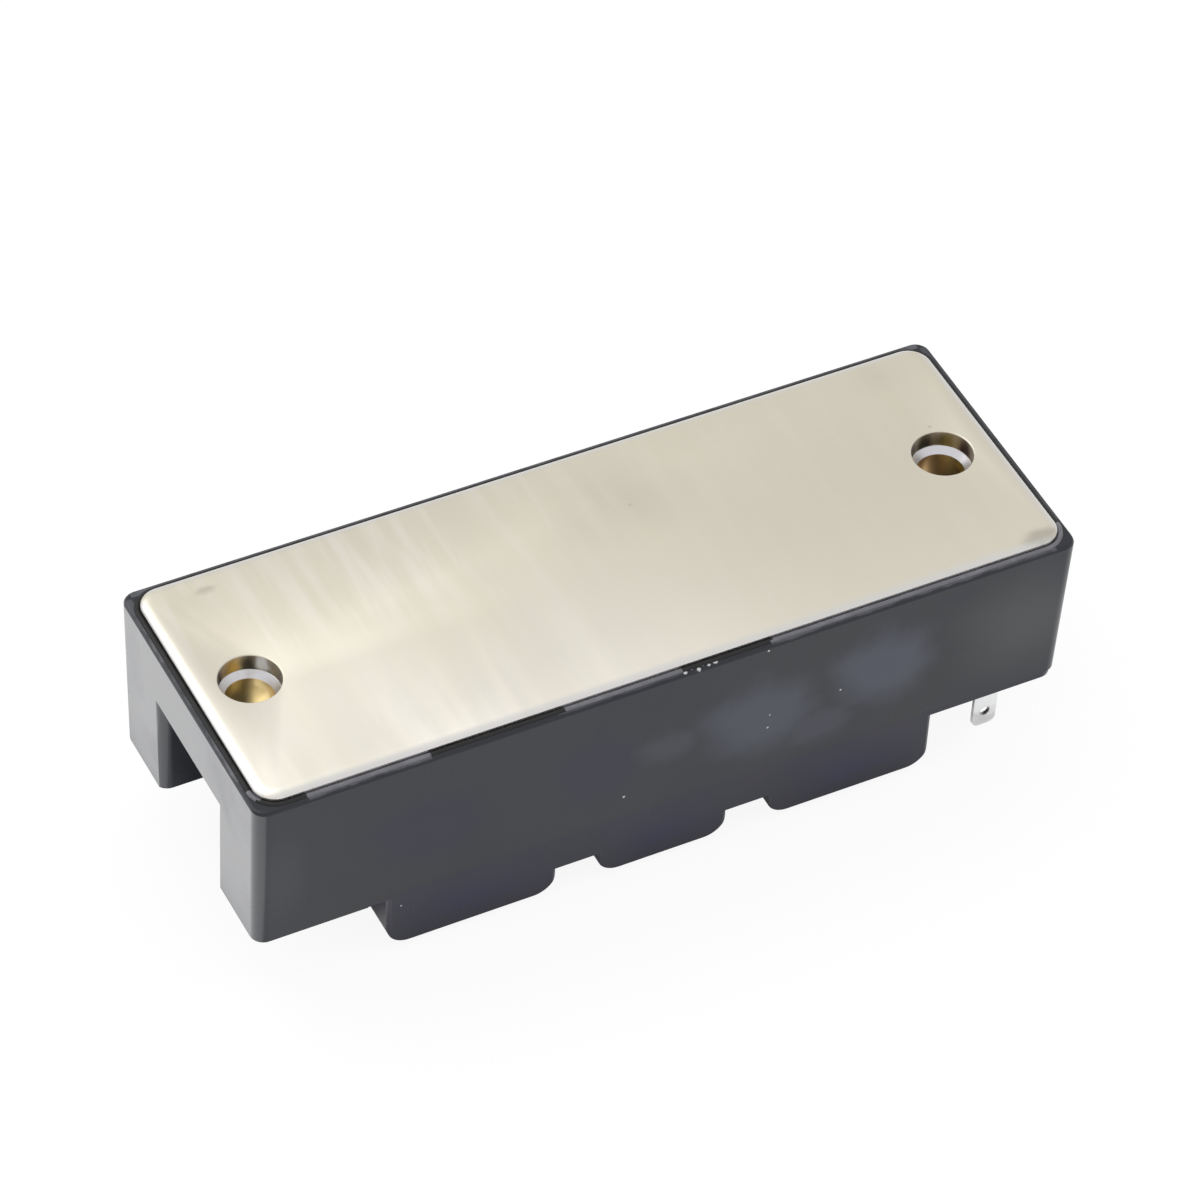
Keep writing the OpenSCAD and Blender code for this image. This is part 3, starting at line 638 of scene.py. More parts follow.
def nickel_material(settings):
    """Plated metal with painted reflection bands across it, dull parts, a painted highlight towards the
    near left, and painted reflections and painted shade on the walls of the two holes.
    """
    material, tree, shader, where = start_material("nickel_plating")
    along, across, up = parts_of(tree, where)
    broad = streaks_in(tree, where, 130.0, 0.16, 4.0)
    narrow = streaks_in(tree, where, 520.0, 0.10)
    fine = streaks_in(tree, where, 3000.0, 0.06, 2.0)
    # Painted reflection bands and lines across the plate, stronger towards the left
    banding_share = ramp(tree, along, -20.0 * MM, 12.0 * MM, 1.0, 0.25)
    reflection_bands = times(tree, ramp(tree, broad, 0.35, 0.65), banding_share)
    reflection_lines = times(tree, ramp(tree, narrow, 0.4, 0.7), banding_share)
    stain = blotches_in(tree, where, 45.0, low=0.45)
    smudge = strongest(
        tree, "Spot", where, on_level(SMUDGES, PLATE_HIGH.z, 2.0 * MM), {"Softness": 0.8, "Ragged": 0.8}
    )
    dull = strongest(
        tree, "Spot", where, on_level(DULL_PATCHES, PLATE_HIGH.z, 4.0 * MM),
        {"Softness": 1.0, "Ragged": 0.3},
    )
    # Painted highlight: the plate made lighter towards the near side and towards the left
    painted_highlight = times(
        tree, ramp(tree, across, -15.0 * MM, 8.0 * MM, 1.0, 0.0),
        ramp(tree, along, -25.0 * MM, 25.0 * MM, 1.0, 0.1),
    )
    colour = layered(tree, [0.985 * part for part in settings.colour], (
        (painted_highlight, 1.0, NICKEL_HIGHLIGHT_COLOUR),
        (dull, 1.0, [0.88 * part for part in settings.colour]),
        (reflection_bands, 0.45, REFLECTION_BAND_COLOUR),
        (reflection_lines, 0.4, REFLECTION_LINE_COLOUR),
        (stain, 0.35, STAIN_COLOUR),
        (plate_rim_mask(tree, where, 1.1 * MM), 0.7, EDGE_COLOUR),
        (smudge, 0.6, SMUDGE_COLOUR),
    ))
    below = ramp(tree, minus(tree, up, PLATE_HIGH.z), -0.15 * MM, -0.05 * MM, 1.0, 0.0)
    # Painted reflections and painted shade around the walls of the two holes
    for hole_x, painted_light_and_patches in ((-HOLE_X, LEFT_HOLE_LIGHT_AND_SHADE), (HOLE_X, RIGHT_HOLE_LIGHT_AND_SHADE)):
        for degrees, tint, strength in painted_light_and_patches:
            angle = math.radians(degrees)
            spot = place_group(tree, "Spot", where, {
                "Centre": (hole_x + HOLE_R * math.cos(angle), HOLE_R * math.sin(angle), PLATE_LOW.z),
                "Half Size": HOLE_PAINT_HALF_SIZE, "Softness": 0.7, "Ragged": 0.5,
            })
            colour = layered(tree, colour, [(times(tree, spot, below), strength, tint)])
    # Painted highlight: a matt pale spot on the left hole's wall
    hole_highlight = place_group(tree, "Spot", where, {
        "Centre": (HOLE_HIGHLIGHT_X, HOLE_HIGHLIGHT_Y, 0.5 * (PLATE_LOW.z + PLATE_HIGH.z)),
        "Half Size": HOLE_HIGHLIGHT_HALF_SIZE, "Softness": 0.6, "Ragged": 0.6,
    })
    hole_highlight = times(tree, hole_highlight, below)
    feed(
        tree, shader,
        Base_Color=blend_colours(tree, hole_highlight, colour, HOLE_HIGHLIGHT_COLOUR),
        Metallic=minus(tree, 1.0, times(tree, hole_highlight, 0.85)),
        Roughness=plus(tree, ramp(tree, broad, 0.3, 0.7, 0.30, 0.36), times(tree, stain, 0.04)),
    )
    height = plus(tree, times(tree, narrow, 0.25), times(tree, fine, 0.06))
    add_bump(tree, shader, height, 0.004 * MM, 0.35)
    return material


def metal_material(name, colour, stain_colour, roughness=0.3, scale=1200.0, bump=0.002, painted_light_and_patches=()):
    """A plain plated or turned metal with fine marks, its own mottling and the patches given; painted
    light and painted shade are given as such patches.
    """
    material, tree, shader, where = start_material(name)
    shader.inputs["Metallic"].default_value = 1.0
    mottling = blotches_in(tree, where, 0.25 * scale, 0.45, 0.75)
    colour = layered(tree, colour, [(mottling, 0.6, stain_colour)])
    for centre, half_size, tint, strength in painted_light_and_patches:
        spot = place_group(tree, "Spot", where, {
            "Centre": Vector(centre) * MM, "Half Size": Vector(half_size) * MM,
            "Softness": 0.5, "Ragged": 0.6,
        })
        colour = layered(tree, colour, [(spot, strength, tint)])
    feed(tree, shader, Base_Color=colour, Roughness=plus(tree, roughness, times(tree, mottling, 0.12)))
    add_bump(tree, shader, streaks_in(tree, where, scale, 0.15), bump * MM, 0.6)
    return material


def sealant_material(name, colour, roughness):
    material, tree, shader, where = start_material(name)
    patches = blotches_in(tree, where, 700.0)
    feed(
        tree, shader,
        Base_Color=layered(tree, colour, [(patches, 0.5, [1.5 * part for part in colour])]),
        Roughness=plus(tree, roughness, times(tree, patches, 0.1)),
    )
    add_grain(tree, shader, where, 1500.0, 0.02 * MM)
    return material


def matt_material(name, colour, other, roughness):
    """Ceramic, solder and the like, mottled and lightly grained."""
    material, tree, shader, where = start_material(name)
    patches = blotches_in(tree, where, 300.0)
    feed(
        tree, shader,
        Base_Color=blend_colours(tree, patches, colour, other),
        Roughness=plus(tree, roughness, times(tree, patches, 0.08)),
    )
    add_grain(tree, shader, where, 5000.0, 0.004 * MM)
    return material


def gel_material():
    """Clear soft gel, faintly clouded."""
    material, tree, shader, where = start_material("soft_gel")
    patches = blotches_in(tree, where, 120.0)
    feed(
        tree, shader,
        Base_Color=blend_colours(tree, patches, (0.88, 0.92, 0.93), (0.93, 0.95, 0.94)),
        Roughness=ramp(tree, patches, 0.0, 1.0, 0.08, 0.14),
    )
    shader.inputs["Transmission Weight"].default_value = 0.85
    shader.inputs["IOR"].default_value = 1.41
    add_grain(tree, shader, where, 400.0, 0.01 * MM, 0.3)
    return material


# ---------- Meshes ----------

def add_object(name, data):
    thing = bpy.data.objects.new(name, data)
    bpy.context.scene.collection.objects.link(thing)
    return thing


def new_piece(name, mesh, *materials):
    """Adds a finished piece that rides on the module, with the materials it doesn't have yet."""
    for material in materials:
        mesh.materials.append(material)
    piece = add_object(name, mesh)
    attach(piece, "root")
    return piece


def made_mesh(piece, name):
    """The piece with its modifiers applied, as a plain mesh; the piece itself is removed."""
    graph = bpy.context.evaluated_depsgraph_get()
    mesh = bpy.data.meshes.new_from_object(piece.evaluated_get(graph))
    bpy.data.objects.remove(piece)
    mesh.name = name
    return mesh


def softened_copy(node, name, width, material):
    """Copies a CAD node's shape, softens its edges, marks them for wear and stands in for it."""
    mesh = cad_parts[node].data.copy()
    mesh.materials.clear()
    solid = bmesh.new()
    solid.from_mesh(mesh)
    bmesh.ops.remove_doubles(solid, verts=solid.verts, dist=WELD_DISTANCE)
    bmesh.ops.dissolve_limit(
        solid, angle_limit=FLAT_ANGLE, verts=solid.verts, edges=solid.edges, delimit={"NORMAL"}
    )
    for face in solid.faces:
        face.material_index = 0
    solid.to_mesh(mesh)
    solid.free()
    mesh.shade_smooth()
    draft = add_object(name + "_draft", mesh)
    for slot_name in ("face", "edge"):
        mesh.materials.append(bpy.data.materials.get(slot_name) or bpy.data.materials.new(slot_name))
    bevel = draft.modifiers.new("soften", "BEVEL")
    bevel.width = width
    bevel.segments = 2
    bevel.limit_method = "ANGLE"
    bevel.angle_limit = EDGE_ANGLE
    bevel.material = 1
    bevel.use_clamp_overlap = True
    bevel.miter_outer = "MITER_ARC"
    weigh = draft.modifiers.new("weigh", "WEIGHTED_NORMAL")
    weigh.keep_sharp = True
    result = made_mesh(draft, name)
    worn = result.attributes.new("edge", "FLOAT", "CORNER")
    for face in result.polygons:
        value = 1.0 if face.material_index == 1 else 0.0
        face.material_index = 0
        for corner in face.loop_indices:
            worn.data[corner].value = value
    result.materials.clear()
    piece = new_piece(name, result, material)
    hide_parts(node)
    return piece


def rounded_outline(half_length, half_width, radius):
    """Corners first at the +X +Y one, counter-clockwise, as (x, y)."""
    points = []
    for turn, (side_x, side_y) in enumerate(((1, 1), (-1, 1), (-1, -1), (1, -1))):
        for step in range(CORNER_STEPS + 1):
            angle = math.radians(90 * (turn + step / CORNER_STEPS))
            points.append((
                side_x * (half_length - radius) + radius * math.cos(angle),
                side_y * (half_width - radius) + radius * math.sin(angle),
            ))
    return points


def circle_outline(centre_x, radius):
    angles = [2 * math.pi * step / CIRCLE_STEPS for step in range(CIRCLE_STEPS)]
    return [(centre_x + radius * math.cos(angle), radius * math.sin(angle)) for angle in angles]


def add_loop(solid, points, height):
    return [solid.verts.new((x, y, height)) for x, y in points]


def quarter_turn(steps):
    """Points over a rounded edge, as (inwards, down), from (1, 0) on top to (0, 1) on the wall."""
    angles = [math.radians(90 * step / steps) for step in range(steps + 1)]
    return [(1 - math.sin(angle), 1 - math.cos(angle)) for angle in angles]


def bridge(solid, upper, lower, flip=False):
    """Joins two rings of as many points with a band of faces."""
    count = len(upper)
    for step in range(count):
        after = (step + 1) % count
        corners = [upper[step], lower[step], lower[after], upper[after]]
        solid.faces.new(corners[::-1] if flip else corners)


def bridge_all(solid, rings, flip=False):
    for upper, lower in zip(rings, rings[1:]):
        bridge(solid, upper, lower, flip)


def flat_fill(solid, loops):
    """Fills the flat ring between an outer loop and its holes."""
    edges = []
    for loop in loops:
        for step, corner in enumerate(loop):
            pair = (corner, loop[(step + 1) % len(loop)])
            edges.append(solid.edges.get(pair) or solid.edges.new(pair))
    bmesh.ops.triangle_fill(solid, use_beauty=True, use_dissolve=False, edges=edges)


def finish_mesh(solid, name, sharp=35.0):
    bmesh.ops.recalc_face_normals(solid, faces=solid.faces)
    mesh = bpy.data.meshes.new(name)
    solid.to_mesh(mesh)
    solid.free()
    mesh.shade_smooth()
    mesh.set_sharp_from_angle(angle=math.radians(sharp))
    return mesh


# ---------- Operators ----------

class MODULE_OT_housing(bpy.types.Operator):
    """Dresses the frame and the cover in moulded plastic with soft edges"""

    bl_idname = "module.housing"
    bl_label = "Housing"

    def execute(self, context):
        settings = context.scene.module_housing
        for node, base in (("frame", settings.colour), ("cover", settings.cover)):
            plastic = plastic_material(node + "_plastic", base, settings)
            piece = softened_copy(node, "housing_" + node, settings.edge, plastic)
        return {"FINISHED"}


class MODULE_OT_base_plate(bpy.types.Operator):
    """Makes the plated base plate with its rolled edge and two holes"""

    bl_idname = "module.base_plate"
    bl_label = "Base Plate"

    def execute(self, context):
        settings = context.scene.module_plate
        half_length, half_width = PLATE_HIGH.x, PLATE_HIGH.y
        top, bottom = PLATE_HIGH.z, PLATE_LOW.z
        solid = bmesh.new()
        rings = []
        for inwards, down in quarter_turn(ROLL_STEPS):
            inset = settings.roll_width * inwards
            outline = rounded_outline(half_length - inset, half_width - inset, settings.corner - inset)
            rings.append(add_loop(solid, outline, top - settings.roll_depth * down))
        wall = rounded_outline(half_length, half_width, settings.corner)
        rings.append(add_loop(solid, wall, bottom))
        bridge_all(solid, rings)
        upper_holes, lower_holes = [], []
        for centre_x in (-HOLE_X, HOLE_X):
            loops = []
            for inwards, down in quarter_turn(HOLE_EDGE_STEPS):
                circle = circle_outline(centre_x, HOLE_R + settings.hole_edge * inwards)
                loops.append(add_loop(solid, circle, top - settings.hole_edge * down))
            loops.append(add_loop(solid, circle_outline(centre_x, HOLE_R), bottom))
            bridge_all(solid, loops, flip=True)
            upper_holes.append(loops[0])
            lower_holes.append(loops[-1])
        flat_fill(solid, [rings[0], *upper_holes])
        flat_fill(solid, [rings[-1], *lower_holes])
        mesh = finish_mesh(solid, "plated_base_plate")
        piece = new_piece("plated_base_plate", mesh, nickel_material(settings))
        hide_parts("base_plate")
        return {"FINISHED"}


def new_geometry_tree(name, inputs):
    """A Geometry Nodes tree with named inputs, (name, kind, default), and one geometry out."""
    tree = bpy.data.node_groups.new(name, "GeometryNodeTree")
    for input_name, kind, default in inputs:
        socket = tree.interface.new_socket(input_name, in_out="INPUT", socket_type=kind)
        socket.default_value = default
    tree.interface.new_socket("Geometry", in_out="OUTPUT", socket_type="NodeSocketGeometry")
    return tree, tree.nodes.new("NodeGroupInput").outputs


def end_geometry_tree(tree, geometry, coats):
    """Ends a tree: instances made real, then the materials, each with where it goes."""
    last = add_node(tree, "GeometryNodeRealizeInstances", {"Geometry": geometry})
    for material, selection in coats:
        last = add_node(tree, "GeometryNodeSetMaterial", {
            "Geometry": last.outputs[0], "Selection": selection, "Material": material,
        })
    out = tree.nodes.new("NodeGroupOutput")
    tree.links.new(last.outputs[0], out.inputs[0])
    return tree


def bare_places(tree):
    """Where the bead is bare: stretches of the near side, and all the rest of the way round."""
    place = tree.nodes.new("GeometryNodeInputPosition").outputs[0]
    along, across, _ = parts_of(tree, place)
    bare = 0.0
    for start, end in BARE_STRETCHES:
        past_start = maths(tree, "GREATER_THAN", along, start * MM)
        before_end = maths(tree, "LESS_THAN", along, end * MM)
        bare = largest(tree, bare, times(tree, past_start, before_end))
    near = maths(tree, "LESS_THAN", across, NEAR_BEAD_END)
    return largest(tree, times(tree, near, bare), maths(tree, "GREATER_THAN", across, FAR_BEAD_START))


def sealant_tree(film_sheen, bare):
    """Geometry Nodes: a bead that follows the plate's outline, lighter with a painted sheen where the
    film covers it, bare elsewhere.
    """
    tree, given = new_geometry_tree("sealant_bead", [
        ("Length", FLOAT, 91.5 * MM), ("Width", FLOAT, 31.5 * MM), ("Corner", FLOAT, 2.5 * MM),
        ("Height", FLOAT, 28.2 * MM), ("Bead", FLOAT, 0.3 * MM), ("Unevenness", FLOAT, 0.1 * MM),
    ])
    path = add_node(tree, "GeometryNodeCurvePrimitiveQuadrilateral", {
        "Width": given["Length"], "Height": given["Width"],
    })
    path = add_node(tree, "GeometryNodeFilletCurve", {
        "Curve": path.outputs[0], "Radius": given["Corner"], "Count": 10,
    }, mode="POLY")
    path = add_node(tree, "GeometryNodeResampleCurve", {
        "Curve": path.outputs[0], "Length": BEAD_STEP,
    }, mode="LENGTH")
    where = tree.nodes.new("GeometryNodeInputPosition").outputs[0]
    wander = add_node(tree, "ShaderNodeTexNoise", {"Vector": where, "Scale": 260.0, "Detail": 3.0})
    centred = vector_maths(tree, "SUBTRACT", wander.outputs["Color"], (0.5, 0.5, 0.5))
    reach = add_node(tree, "ShaderNodeCombineXYZ", {
        "X": given["Unevenness"], "Y": given["Unevenness"], "Z": times(tree, given["Unevenness"], 0.6),
    })
    shift = vector_maths(tree, "MULTIPLY", centred, reach.outputs[0])
    lift = add_node(tree, "ShaderNodeCombineXYZ", {"Z": given["Height"]})
    offset = vector_maths(tree, "ADD", shift, lift.outputs[0])
    path = add_node(tree, "GeometryNodeSetPosition", {"Geometry": path.outputs[0], "Offset": offset})
    thickness = ramp(tree, noise(tree, where, 140.0, 2.0), 0.3, 0.7, 0.8, 1.15)
    path = add_node(tree, "GeometryNodeSetCurveRadius", {"Curve": path.outputs[0], "Radius": thickness})
    ring = add_node(tree, "GeometryNodeCurvePrimitiveCircle", {
        "Resolution": BEAD_SIDES, "Radius": given["Bead"],
    }, mode="RADIUS")
    bead = add_node(tree, "GeometryNodeCurveToMesh", {
        "Curve": path.outputs[0], "Profile Curve": ring.outputs[0],
    })
    smooth = add_node(tree, "GeometryNodeSetShadeSmooth", {"Geometry": bead.outputs[0]})
    return end_geometry_tree(tree, smooth.outputs[0], [(film_sheen, True), (bare, bare_places(tree))])


def run_tree(tree, name, values):
    """Runs a Geometry Nodes tree with its named inputs and returns the plain mesh."""
    maker = add_object(name + "_maker", bpy.data.meshes.new(name + "_maker"))
    modifier = maker.modifiers.new("make", "NODES")
    modifier.node_group = tree
    for item in tree.interface.items_tree:
        if item.in_out == "INPUT" and item.name in values:
            modifier[item.identifier] = values[item.name]
    return made_mesh(maker, name)


class MODULE_OT_sealant(bpy.types.Operator):
    """Runs the uneven sealant bead around the base plate"""

    bl_idname = "module.sealant"
    bl_label = "Sealant"

    def execute(self, context):
        settings = context.scene.module_sealant
        film_sheen = sealant_material("sealant_film_sheen", settings.film_sheen, 0.30)
        bare = sealant_material("bare_sealant", settings.colour, 0.55)
        mesh = run_tree(sealant_tree(film_sheen, bare), "sealant_bead", {
            "Length": 2 * (PLATE_HIGH.x + BEAD_OUTSIDE), "Width": 2 * (PLATE_HIGH.y + BEAD_OUTSIDE),
            "Corner": context.scene.module_plate.corner + BEAD_OUTSIDE,
            "Height": RIM_HIGH.z - BEAD_BELOW, "Bead": settings.bead, "Unevenness": settings.uneven,
        })
        piece = new_piece("sealant_bead", mesh)
        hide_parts("base_sealant")
        return {"FINISHED"}


class MODULE_OT_bushings(bpy.types.Operator):
    """Turns the two brass bushings with their plated countersinks"""

    bl_idname = "module.bushings"
    bl_label = "Bushings"

    def execute(self, context):
        settings = context.scene.module_bushings
        outer = (BUSHING_HIGH.y - BUSHING_LOW.y) / 2
        top, bottom = BUSHING_HIGH.z, BUSHING_LOW.z
        profile = [(outer, top), (outer, bottom), (settings.bore + BORE_FOOT, bottom)]
        bore_height = top - settings.sink - bottom - BORE_FOOT
        for step in range(BORE_STEPS + 1):
            height = bottom + BORE_FOOT + bore_height * step / BORE_STEPS
            profile.append((settings.bore + settings.groove * (step % 2), height))
        rim = len(profile) - 1
        profile.append((settings.bore + settings.sink, top))
        solid = bmesh.new()
        for centre_x in (-HOLE_X, HOLE_X):
            rings = [add_loop(solid, circle_outline(centre_x, radius), z) for radius, z in profile]
            for place, lower in enumerate(rings):
                upper = rings[(place + 1) % len(rings)]
                first = len(solid.faces)
                bridge(solid, lower, upper)
                solid.faces.ensure_lookup_table()
                for face in solid.faces[first:]:
                    face.material_index = 1 if place >= rim else 0
        # The right bushing's brass carries painted light and a painted glint
        brass = metal_material(
            "turned_brass", settings.colour, (0.36, 0.24, 0.11), roughness=0.38, scale=1500.0,
            bump=0.004, painted_light_and_patches=BRASS_PAINTED_LIGHT_AND_PATCH,
        )
        plated = metal_material(
            "plated_countersink", settings.plated, (0.55, 0.50, 0.45), scale=1500.0, bump=0.003
        )
        mesh = finish_mesh(solid, "brass_bushings", sharp=25.0)
        piece = new_piece("brass_bushings", mesh, brass, plated)
        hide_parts("mounting_bushings")
        return {"FINISHED"}


class MODULE_OT_contacts(bpy.types.Operator):
    """Dresses the screw terminals and the plug tabs in tin"""

    bl_idname = "module.contacts"
    bl_label = "Terminals and Tabs"

    def execute(self, context):
        settings = context.scene.module_contacts
        tin = metal_material("tinned_strip", settings.tin, TIN_STAIN)
        for node in TERMINALS:
            softened_copy(node, node + "_strip", settings.edge, tin)
        # The blades carry painted shade in the tabs' holes
        blade = metal_material("tinned_blade", settings.tin, TIN_STAIN, painted_light_and_patches=TAB_HOLE_SHADE)
        for node in PLUG_TABS:
            softened_copy(node, node + "_blade", settings.edge, blade)
        return {"FINISHED"}


def add_ring(solid, height, radius_at):
    """A ring of points around the origin, its radius given for each angle."""
    points = []
    for step in range(NUT_STEPS):
        angle = 2 * math.pi * step / NUT_STEPS
        radius = radius_at(angle)
        points.append((radius * math.cos(angle), radius * math.sin(angle)))
    return add_loop(solid, points, height)


def nut_mesh(flats, height, bore, thread, pitch):
    """One chamfered hexagon nut on the origin, its thread a real helix."""
    solid = bmesh.new()
    flat_r = flats / 2
    corner_r = flat_r / math.cos(math.pi / 6)
    chamfer = (corner_r - flat_r) * CHAMFER_SHARE

    def thread_radius(angle, z):
        phase = (z / pitch - angle / (2 * math.pi)) % 1.0
        fade = min(1.0, z / (0.5 * pitch), (height - z) / (0.5 * pitch))
        return bore + thread * (1 - abs(2 * phase - 1)) * max(fade, 0.0)

    def side_radius(angle, trim):
        sector = (angle + math.pi / 6) % (math.pi / 3) - math.pi / 6
        return min(flat_r / math.cos(sector), corner_r - trim * CHAMFER_SLOPE)

    outer = [
        add_ring(solid, z, lambda angle: side_radius(angle, trim))
        for z, trim in ((0.0, chamfer), (chamfer, 0.0), (height - chamfer, 0.0), (height, chamfer))
    ]
    count = int(height / pitch * STEPS_PER_TURN)
    inner = [
        add_ring(solid, z, lambda angle: thread_radius(angle, z))
        for z in (height * level / count for level in range(count + 1))
    ]
    bridge_all(solid, outer[::-1])
    bridge_all(solid, inner[::-1], flip=True)
    bridge(solid, inner[0], outer[0])
    bridge(solid, outer[-1], inner[-1])
    return finish_mesh(solid, "nut", sharp=28.0)


def nut_row_tree(nut, material):
    """Geometry Nodes: the same nut at each terminal."""
    tree, given = new_geometry_tree("nut_row", [
        ("Count", "NodeSocketInt", 3), ("Pitch", FLOAT, 23 * MM), ("First", FLOAT, -23 * MM),
        ("Height", FLOAT, 1.1 * MM),
    ])
    start = add_node(tree, "ShaderNodeCombineXYZ", {"X": given["First"], "Z": given["Height"]})
    step = add_node(tree, "ShaderNodeCombineXYZ", {"X": given["Pitch"]})
    line = add_node(tree, "GeometryNodeMeshLine", {
        "Count": given["Count"], "Start Location": start.outputs[0], "Offset": step.outputs[0],
    })
    source = add_node(tree, "GeometryNodeObjectInfo", {"Object": nut})
    row = add_node(tree, "GeometryNodeInstanceOnPoints", {
        "Points": line.outputs[0], "Instance": source.outputs["Geometry"],
    })
    return end_geometry_tree(tree, row.outputs[0], [(material, True)])


class MODULE_OT_nuts(bpy.types.Operator):
    """Sets a threaded nut behind each screw terminal"""

    bl_idname = "module.nuts"
    bl_label = "Nuts"

    def execute(self, context):
        settings = context.scene.module_contacts
        flats, height = NUT_HIGH.y - NUT_LOW.y, NUT_HIGH.z - NUT_LOW.z
        zinc = metal_material("zinc_plating", settings.zinc, (0.45, 0.45, 0.44), scale=1600.0, bump=0.003)
        nut = add_object(
            "nut_pattern", nut_mesh(flats, height, NUT_BORE, settings.thread, settings.pitch)
        )
        pitch = (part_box("terminal_right")[0].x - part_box("terminal_left")[0].x) / 2
        mesh = run_tree(nut_row_tree(nut, zinc), "terminal_nut_row", {
            "Count": len(TERMINALS), "Pitch": pitch, "First": -pitch, "Height": NUT_LOW.z,
        })
        bpy.data.objects.remove(nut)
        piece = new_piece("threaded_nuts", mesh)
        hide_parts("terminal_nuts")
        return {"FINISHED"}


class MODULE_OT_circuit(bpy.types.Operator):
    """Gives the sealed circuit its ceramic, copper, silicon, aluminium and gel"""

    bl_idname = "module.circuit"
    bl_label = "Circuit"

    def execute(self, context):
        copper = metal_material("bare_copper", (0.72, 0.38, 0.24), (0.45, 0.22, 0.14))
        aluminium = metal_material(
            "drawn_aluminium", (0.80, 0.80, 0.81), (0.62, 0.62, 0.64), scale=3000.0
        )
        chip = metal_material(
            "chip_metal", (0.52, 0.53, 0.56), (0.40, 0.41, 0.46), roughness=0.25, scale=1500.0
        )
        solder = matt_material("grey_solder", (0.50, 0.50, 0.51), (0.38, 0.38, 0.39), 0.5)
        ceramic = matt_material("white_ceramic", (0.86, 0.86, 0.83), (0.80, 0.80, 0.76), 0.6)
        finishes = {
            "substrate_solder": solder,
            "substrate_backs": copper,
            "substrate_ceramics": ceramic,
            "substrate_tracks": copper,
            "transistor_chips": chip,
            "diode_chips": chip,
            "power_wires": aluminium,
            "gate_wires": aluminium,
            "silicone_gel": gel_material(),
        }
        for node, material in finishes.items():
            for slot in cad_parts[node].material_slots:
                slot.material = material
        return {"FINISHED"}


# ---------- Stage ----------

def floor_material():
    """Pale floor that shows white, to the eye and in reflections, and keeps the module's shadow;
    reflections show a painted shadow close to and under the module.
    """
    material = bpy.data.materials.new("pale_floor")
    material.use_nodes = True
    tree = material.node_tree
    tree.nodes.remove(tree.nodes["Principled BSDF"])
    where = add_node(tree, "ShaderNodeTexCoord").outputs["Object"]
    tone = ramp(tree, noise(tree, where, 6.0, 2.0), 0.3, 0.7, *FLOOR_TONE)
    colour = add_node(tree, "ShaderNodeCombineColor", {0: tone, 1: tone, 2: tone}).outputs[0]
    plain = add_node(tree, "ShaderNodeBsdfDiffuse", {"Color": colour}).outputs[0]
    light = tree.nodes.new("ShaderNodeLightPath").outputs
    shown = largest(tree, light["Is Camera Ray"], light["Is Glossy Ray"], light["Is Transmission Ray"])
    dim = add_node(tree, "ShaderNodeBsdfDiffuse", {"Color": DIM_FLOOR}).outputs[0]
    # Painted shadow for reflections: the floor's glow dimmed close to the module and under it
    sky = add_node(tree, "ShaderNodeAmbientOcclusion", {"Distance": SHADE_REACH}, samples=4)
    under = place_group(tree, "Patch", where, {
        "Half Size": UNDER_SHADOW_HALF_SIZE, "Margin": UNDER_SHADOW_MARGIN, "Ragged": 0.0,
    })
    shaded = largest(tree, minus(tree, 1.0, sky.outputs["AO"]), times(tree, under, UNDER_SHADOW_SHARE))
    reflected = times(tree, light["Is Glossy Ray"], shaded)
    strength = times(tree, FLOOR_GLOW, minus(tree, 1.0, reflected))
    glow = add_node(tree, "ShaderNodeEmission", {"Strength": strength}).outputs[0]
    white = add_node(tree, "ShaderNodeAddShader", {0: dim, 1: glow}).outputs[0]
    mixed = add_node(tree, "ShaderNodeMixShader", {0: shown, 1: plain, 2: white}).outputs[0]
    tree.links.new(mixed, tree.nodes["Material Output"].inputs["Surface"])
    return material


def add_lamp(name, power, size, place, target):
    lamp = bpy.data.lights.new(name, "AREA")
    lamp.shape = "RECTANGLE"
    lamp.size, lamp.size_y = size
    lamp.energy = power
    holder = add_object(name, lamp)
    holder.location = place
    holder.rotation_euler = (Vector(target) - Vector(place)).to_track_quat("-Z", "Y").to_euler()
    holder.visible_camera = False


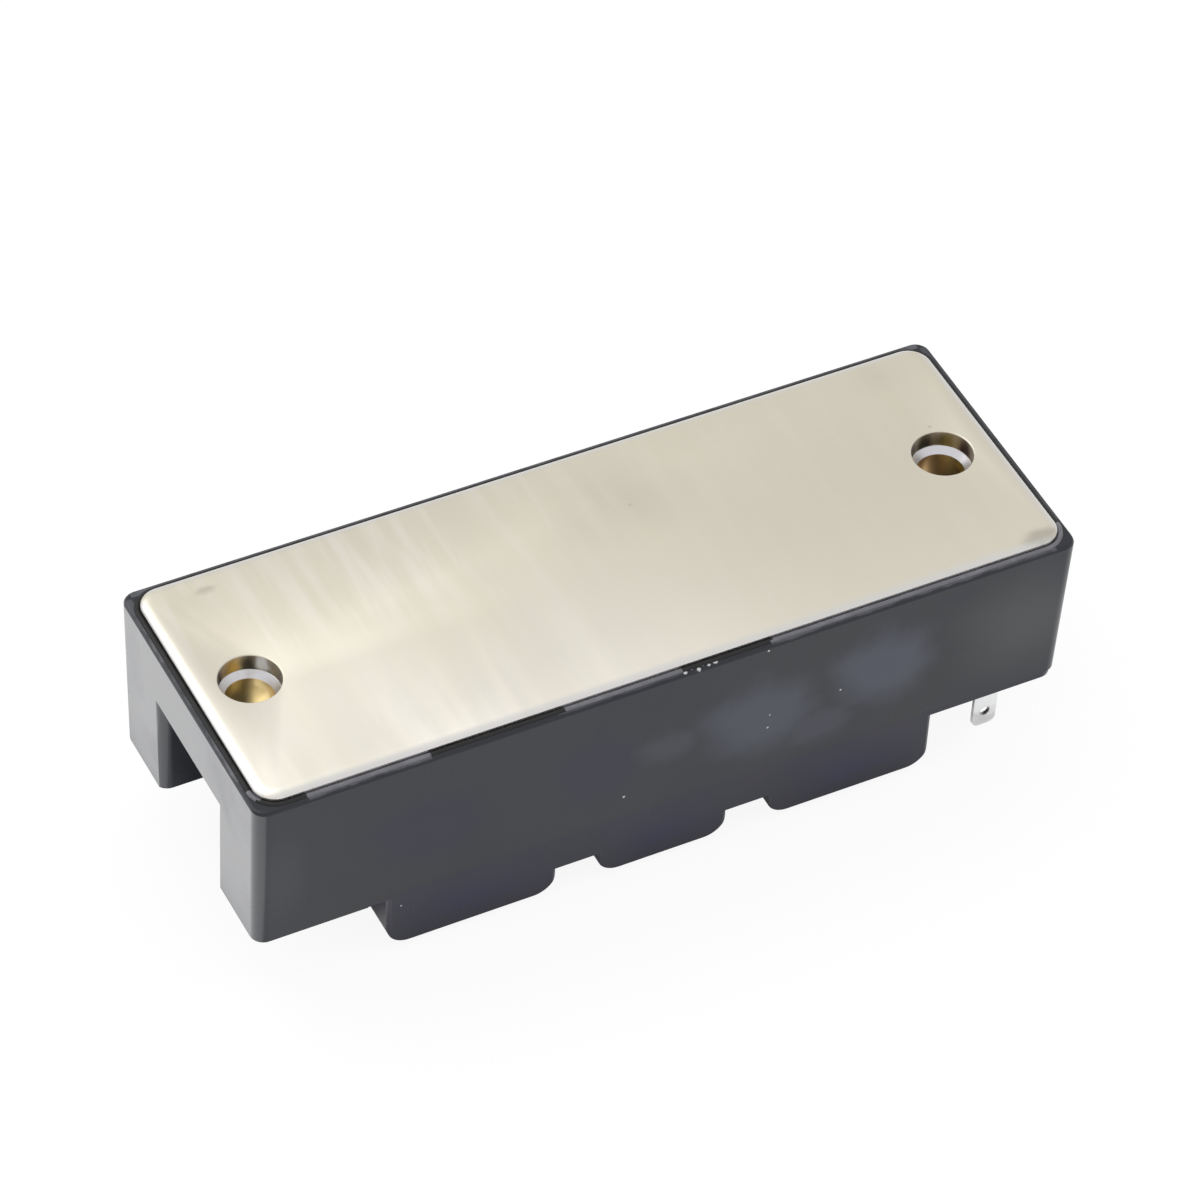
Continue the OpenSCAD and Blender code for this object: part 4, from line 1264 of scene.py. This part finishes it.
class MODULE_OT_stage(bpy.types.Operator):
    """Lays the pale floor and sets the soft lamps, the room light and the camera"""

    bl_idname = "module.stage"
    bl_label = "Stage"

    def execute(self, context):
        settings = context.scene.module_stage
        scene = context.scene
        scene.view_settings.view_transform = "Standard"
        self.lay_floor()
        self.light_room(scene, settings)
        self.aim_camera(scene, settings)
        return {"FINISHED"}

    def lay_floor(self):
        solid = bmesh.new()
        bmesh.ops.create_circle(solid, cap_ends=True, radius=FLOOR_RADIUS, segments=96)
        mesh = bpy.data.meshes.new("floor")
        solid.to_mesh(mesh)
        solid.free()
        mesh.materials.append(floor_material())
        floor = add_object("floor", mesh)

    def light_room(self, scene, settings):
        world = bpy.data.worlds.new("room")
        scene.world = world
        world.use_nodes = True
        tree = world.node_tree
        backdrop = tree.nodes["Background"]
        light = tree.nodes.new("ShaderNodeLightPath").outputs
        shown = largest(tree, light["Is Camera Ray"], light["Is Transmission Ray"])
        strength = ramp(tree, shown, 0.0, 1.0, settings.room, 1.0)
        tree.links.new(strength, backdrop.inputs["Strength"])
        backdrop.inputs["Color"].default_value = (1.0, 1.0, 1.0, 1.0)
        add_lamp("soft_lamp", settings.lamp, SOFT_LAMP_SIZE, SOFT_LAMP_PLACE, SOFT_LAMP_TARGET)
        add_lamp("low_lamp", settings.low_lamp, LOW_LAMP_SIZE, LOW_LAMP_PLACE, LOW_LAMP_TARGET)

    def aim_camera(self, scene, settings):
        around, above = settings.azimuth, settings.elevation
        back = Vector((
            math.sin(around) * math.cos(above), -math.cos(around) * math.cos(above), math.sin(above)
        ))
        level = Vector((0, 0, 1)).cross(back).normalized()
        upright = back.cross(level)
        right = level * math.cos(settings.roll) + upright * math.sin(settings.roll)
        above_view = back.cross(right)
        camera = bpy.data.cameras.new("camera")
        camera.lens = settings.lens
        camera.sensor_width = SENSOR_WIDTH
        camera.clip_start = CLOSEST_VIEW
        turn = Matrix((right, above_view, back)).transposed().to_4x4()
        holder = add_object("camera", camera)
        holder.matrix_world = Matrix.Translation(VIEW_TARGET + back * settings.distance) @ turn
        scene.camera = holder


OPERATORS = (
    MODULE_OT_stage, MODULE_OT_housing, MODULE_OT_base_plate, MODULE_OT_sealant,
    MODULE_OT_bushings, MODULE_OT_contacts, MODULE_OT_nuts, MODULE_OT_circuit,
)


class MODULE_PT_panel(bpy.types.Panel):
    """Lists the module's pieces and their settings"""

    bl_idname = "MODULE_PT_panel"
    bl_label = "Power Module"
    bl_space_type = "VIEW_3D"
    bl_region_type = "UI"
    bl_category = "Module"

    def draw(self, context):
        for name, group in SETTINGS.items():
            box = self.layout.box()
            for key in group.__annotations__:
                box.prop(getattr(context.scene, name), key)
        for operator in OPERATORS:
            self.layout.operator(operator.bl_idname)


def register():
    for item in (*SETTINGS.values(), *OPERATORS, MODULE_PT_panel):
        bpy.utils.register_class(item)
    for name, group in SETTINGS.items():
        setattr(bpy.types.Scene, name, bpy.props.PointerProperty(type=group))


def unregister():
    for name in SETTINGS:
        delattr(bpy.types.Scene, name)
    for item in reversed((*SETTINGS.values(), *OPERATORS, MODULE_PT_panel)):
        bpy.utils.unregister_class(item)


def main():
    register()
    for operator in OPERATORS:
        group, name = operator.bl_idname.split(".")
        getattr(getattr(bpy.ops, group), name)()


if __name__ == "__main__":
    main()
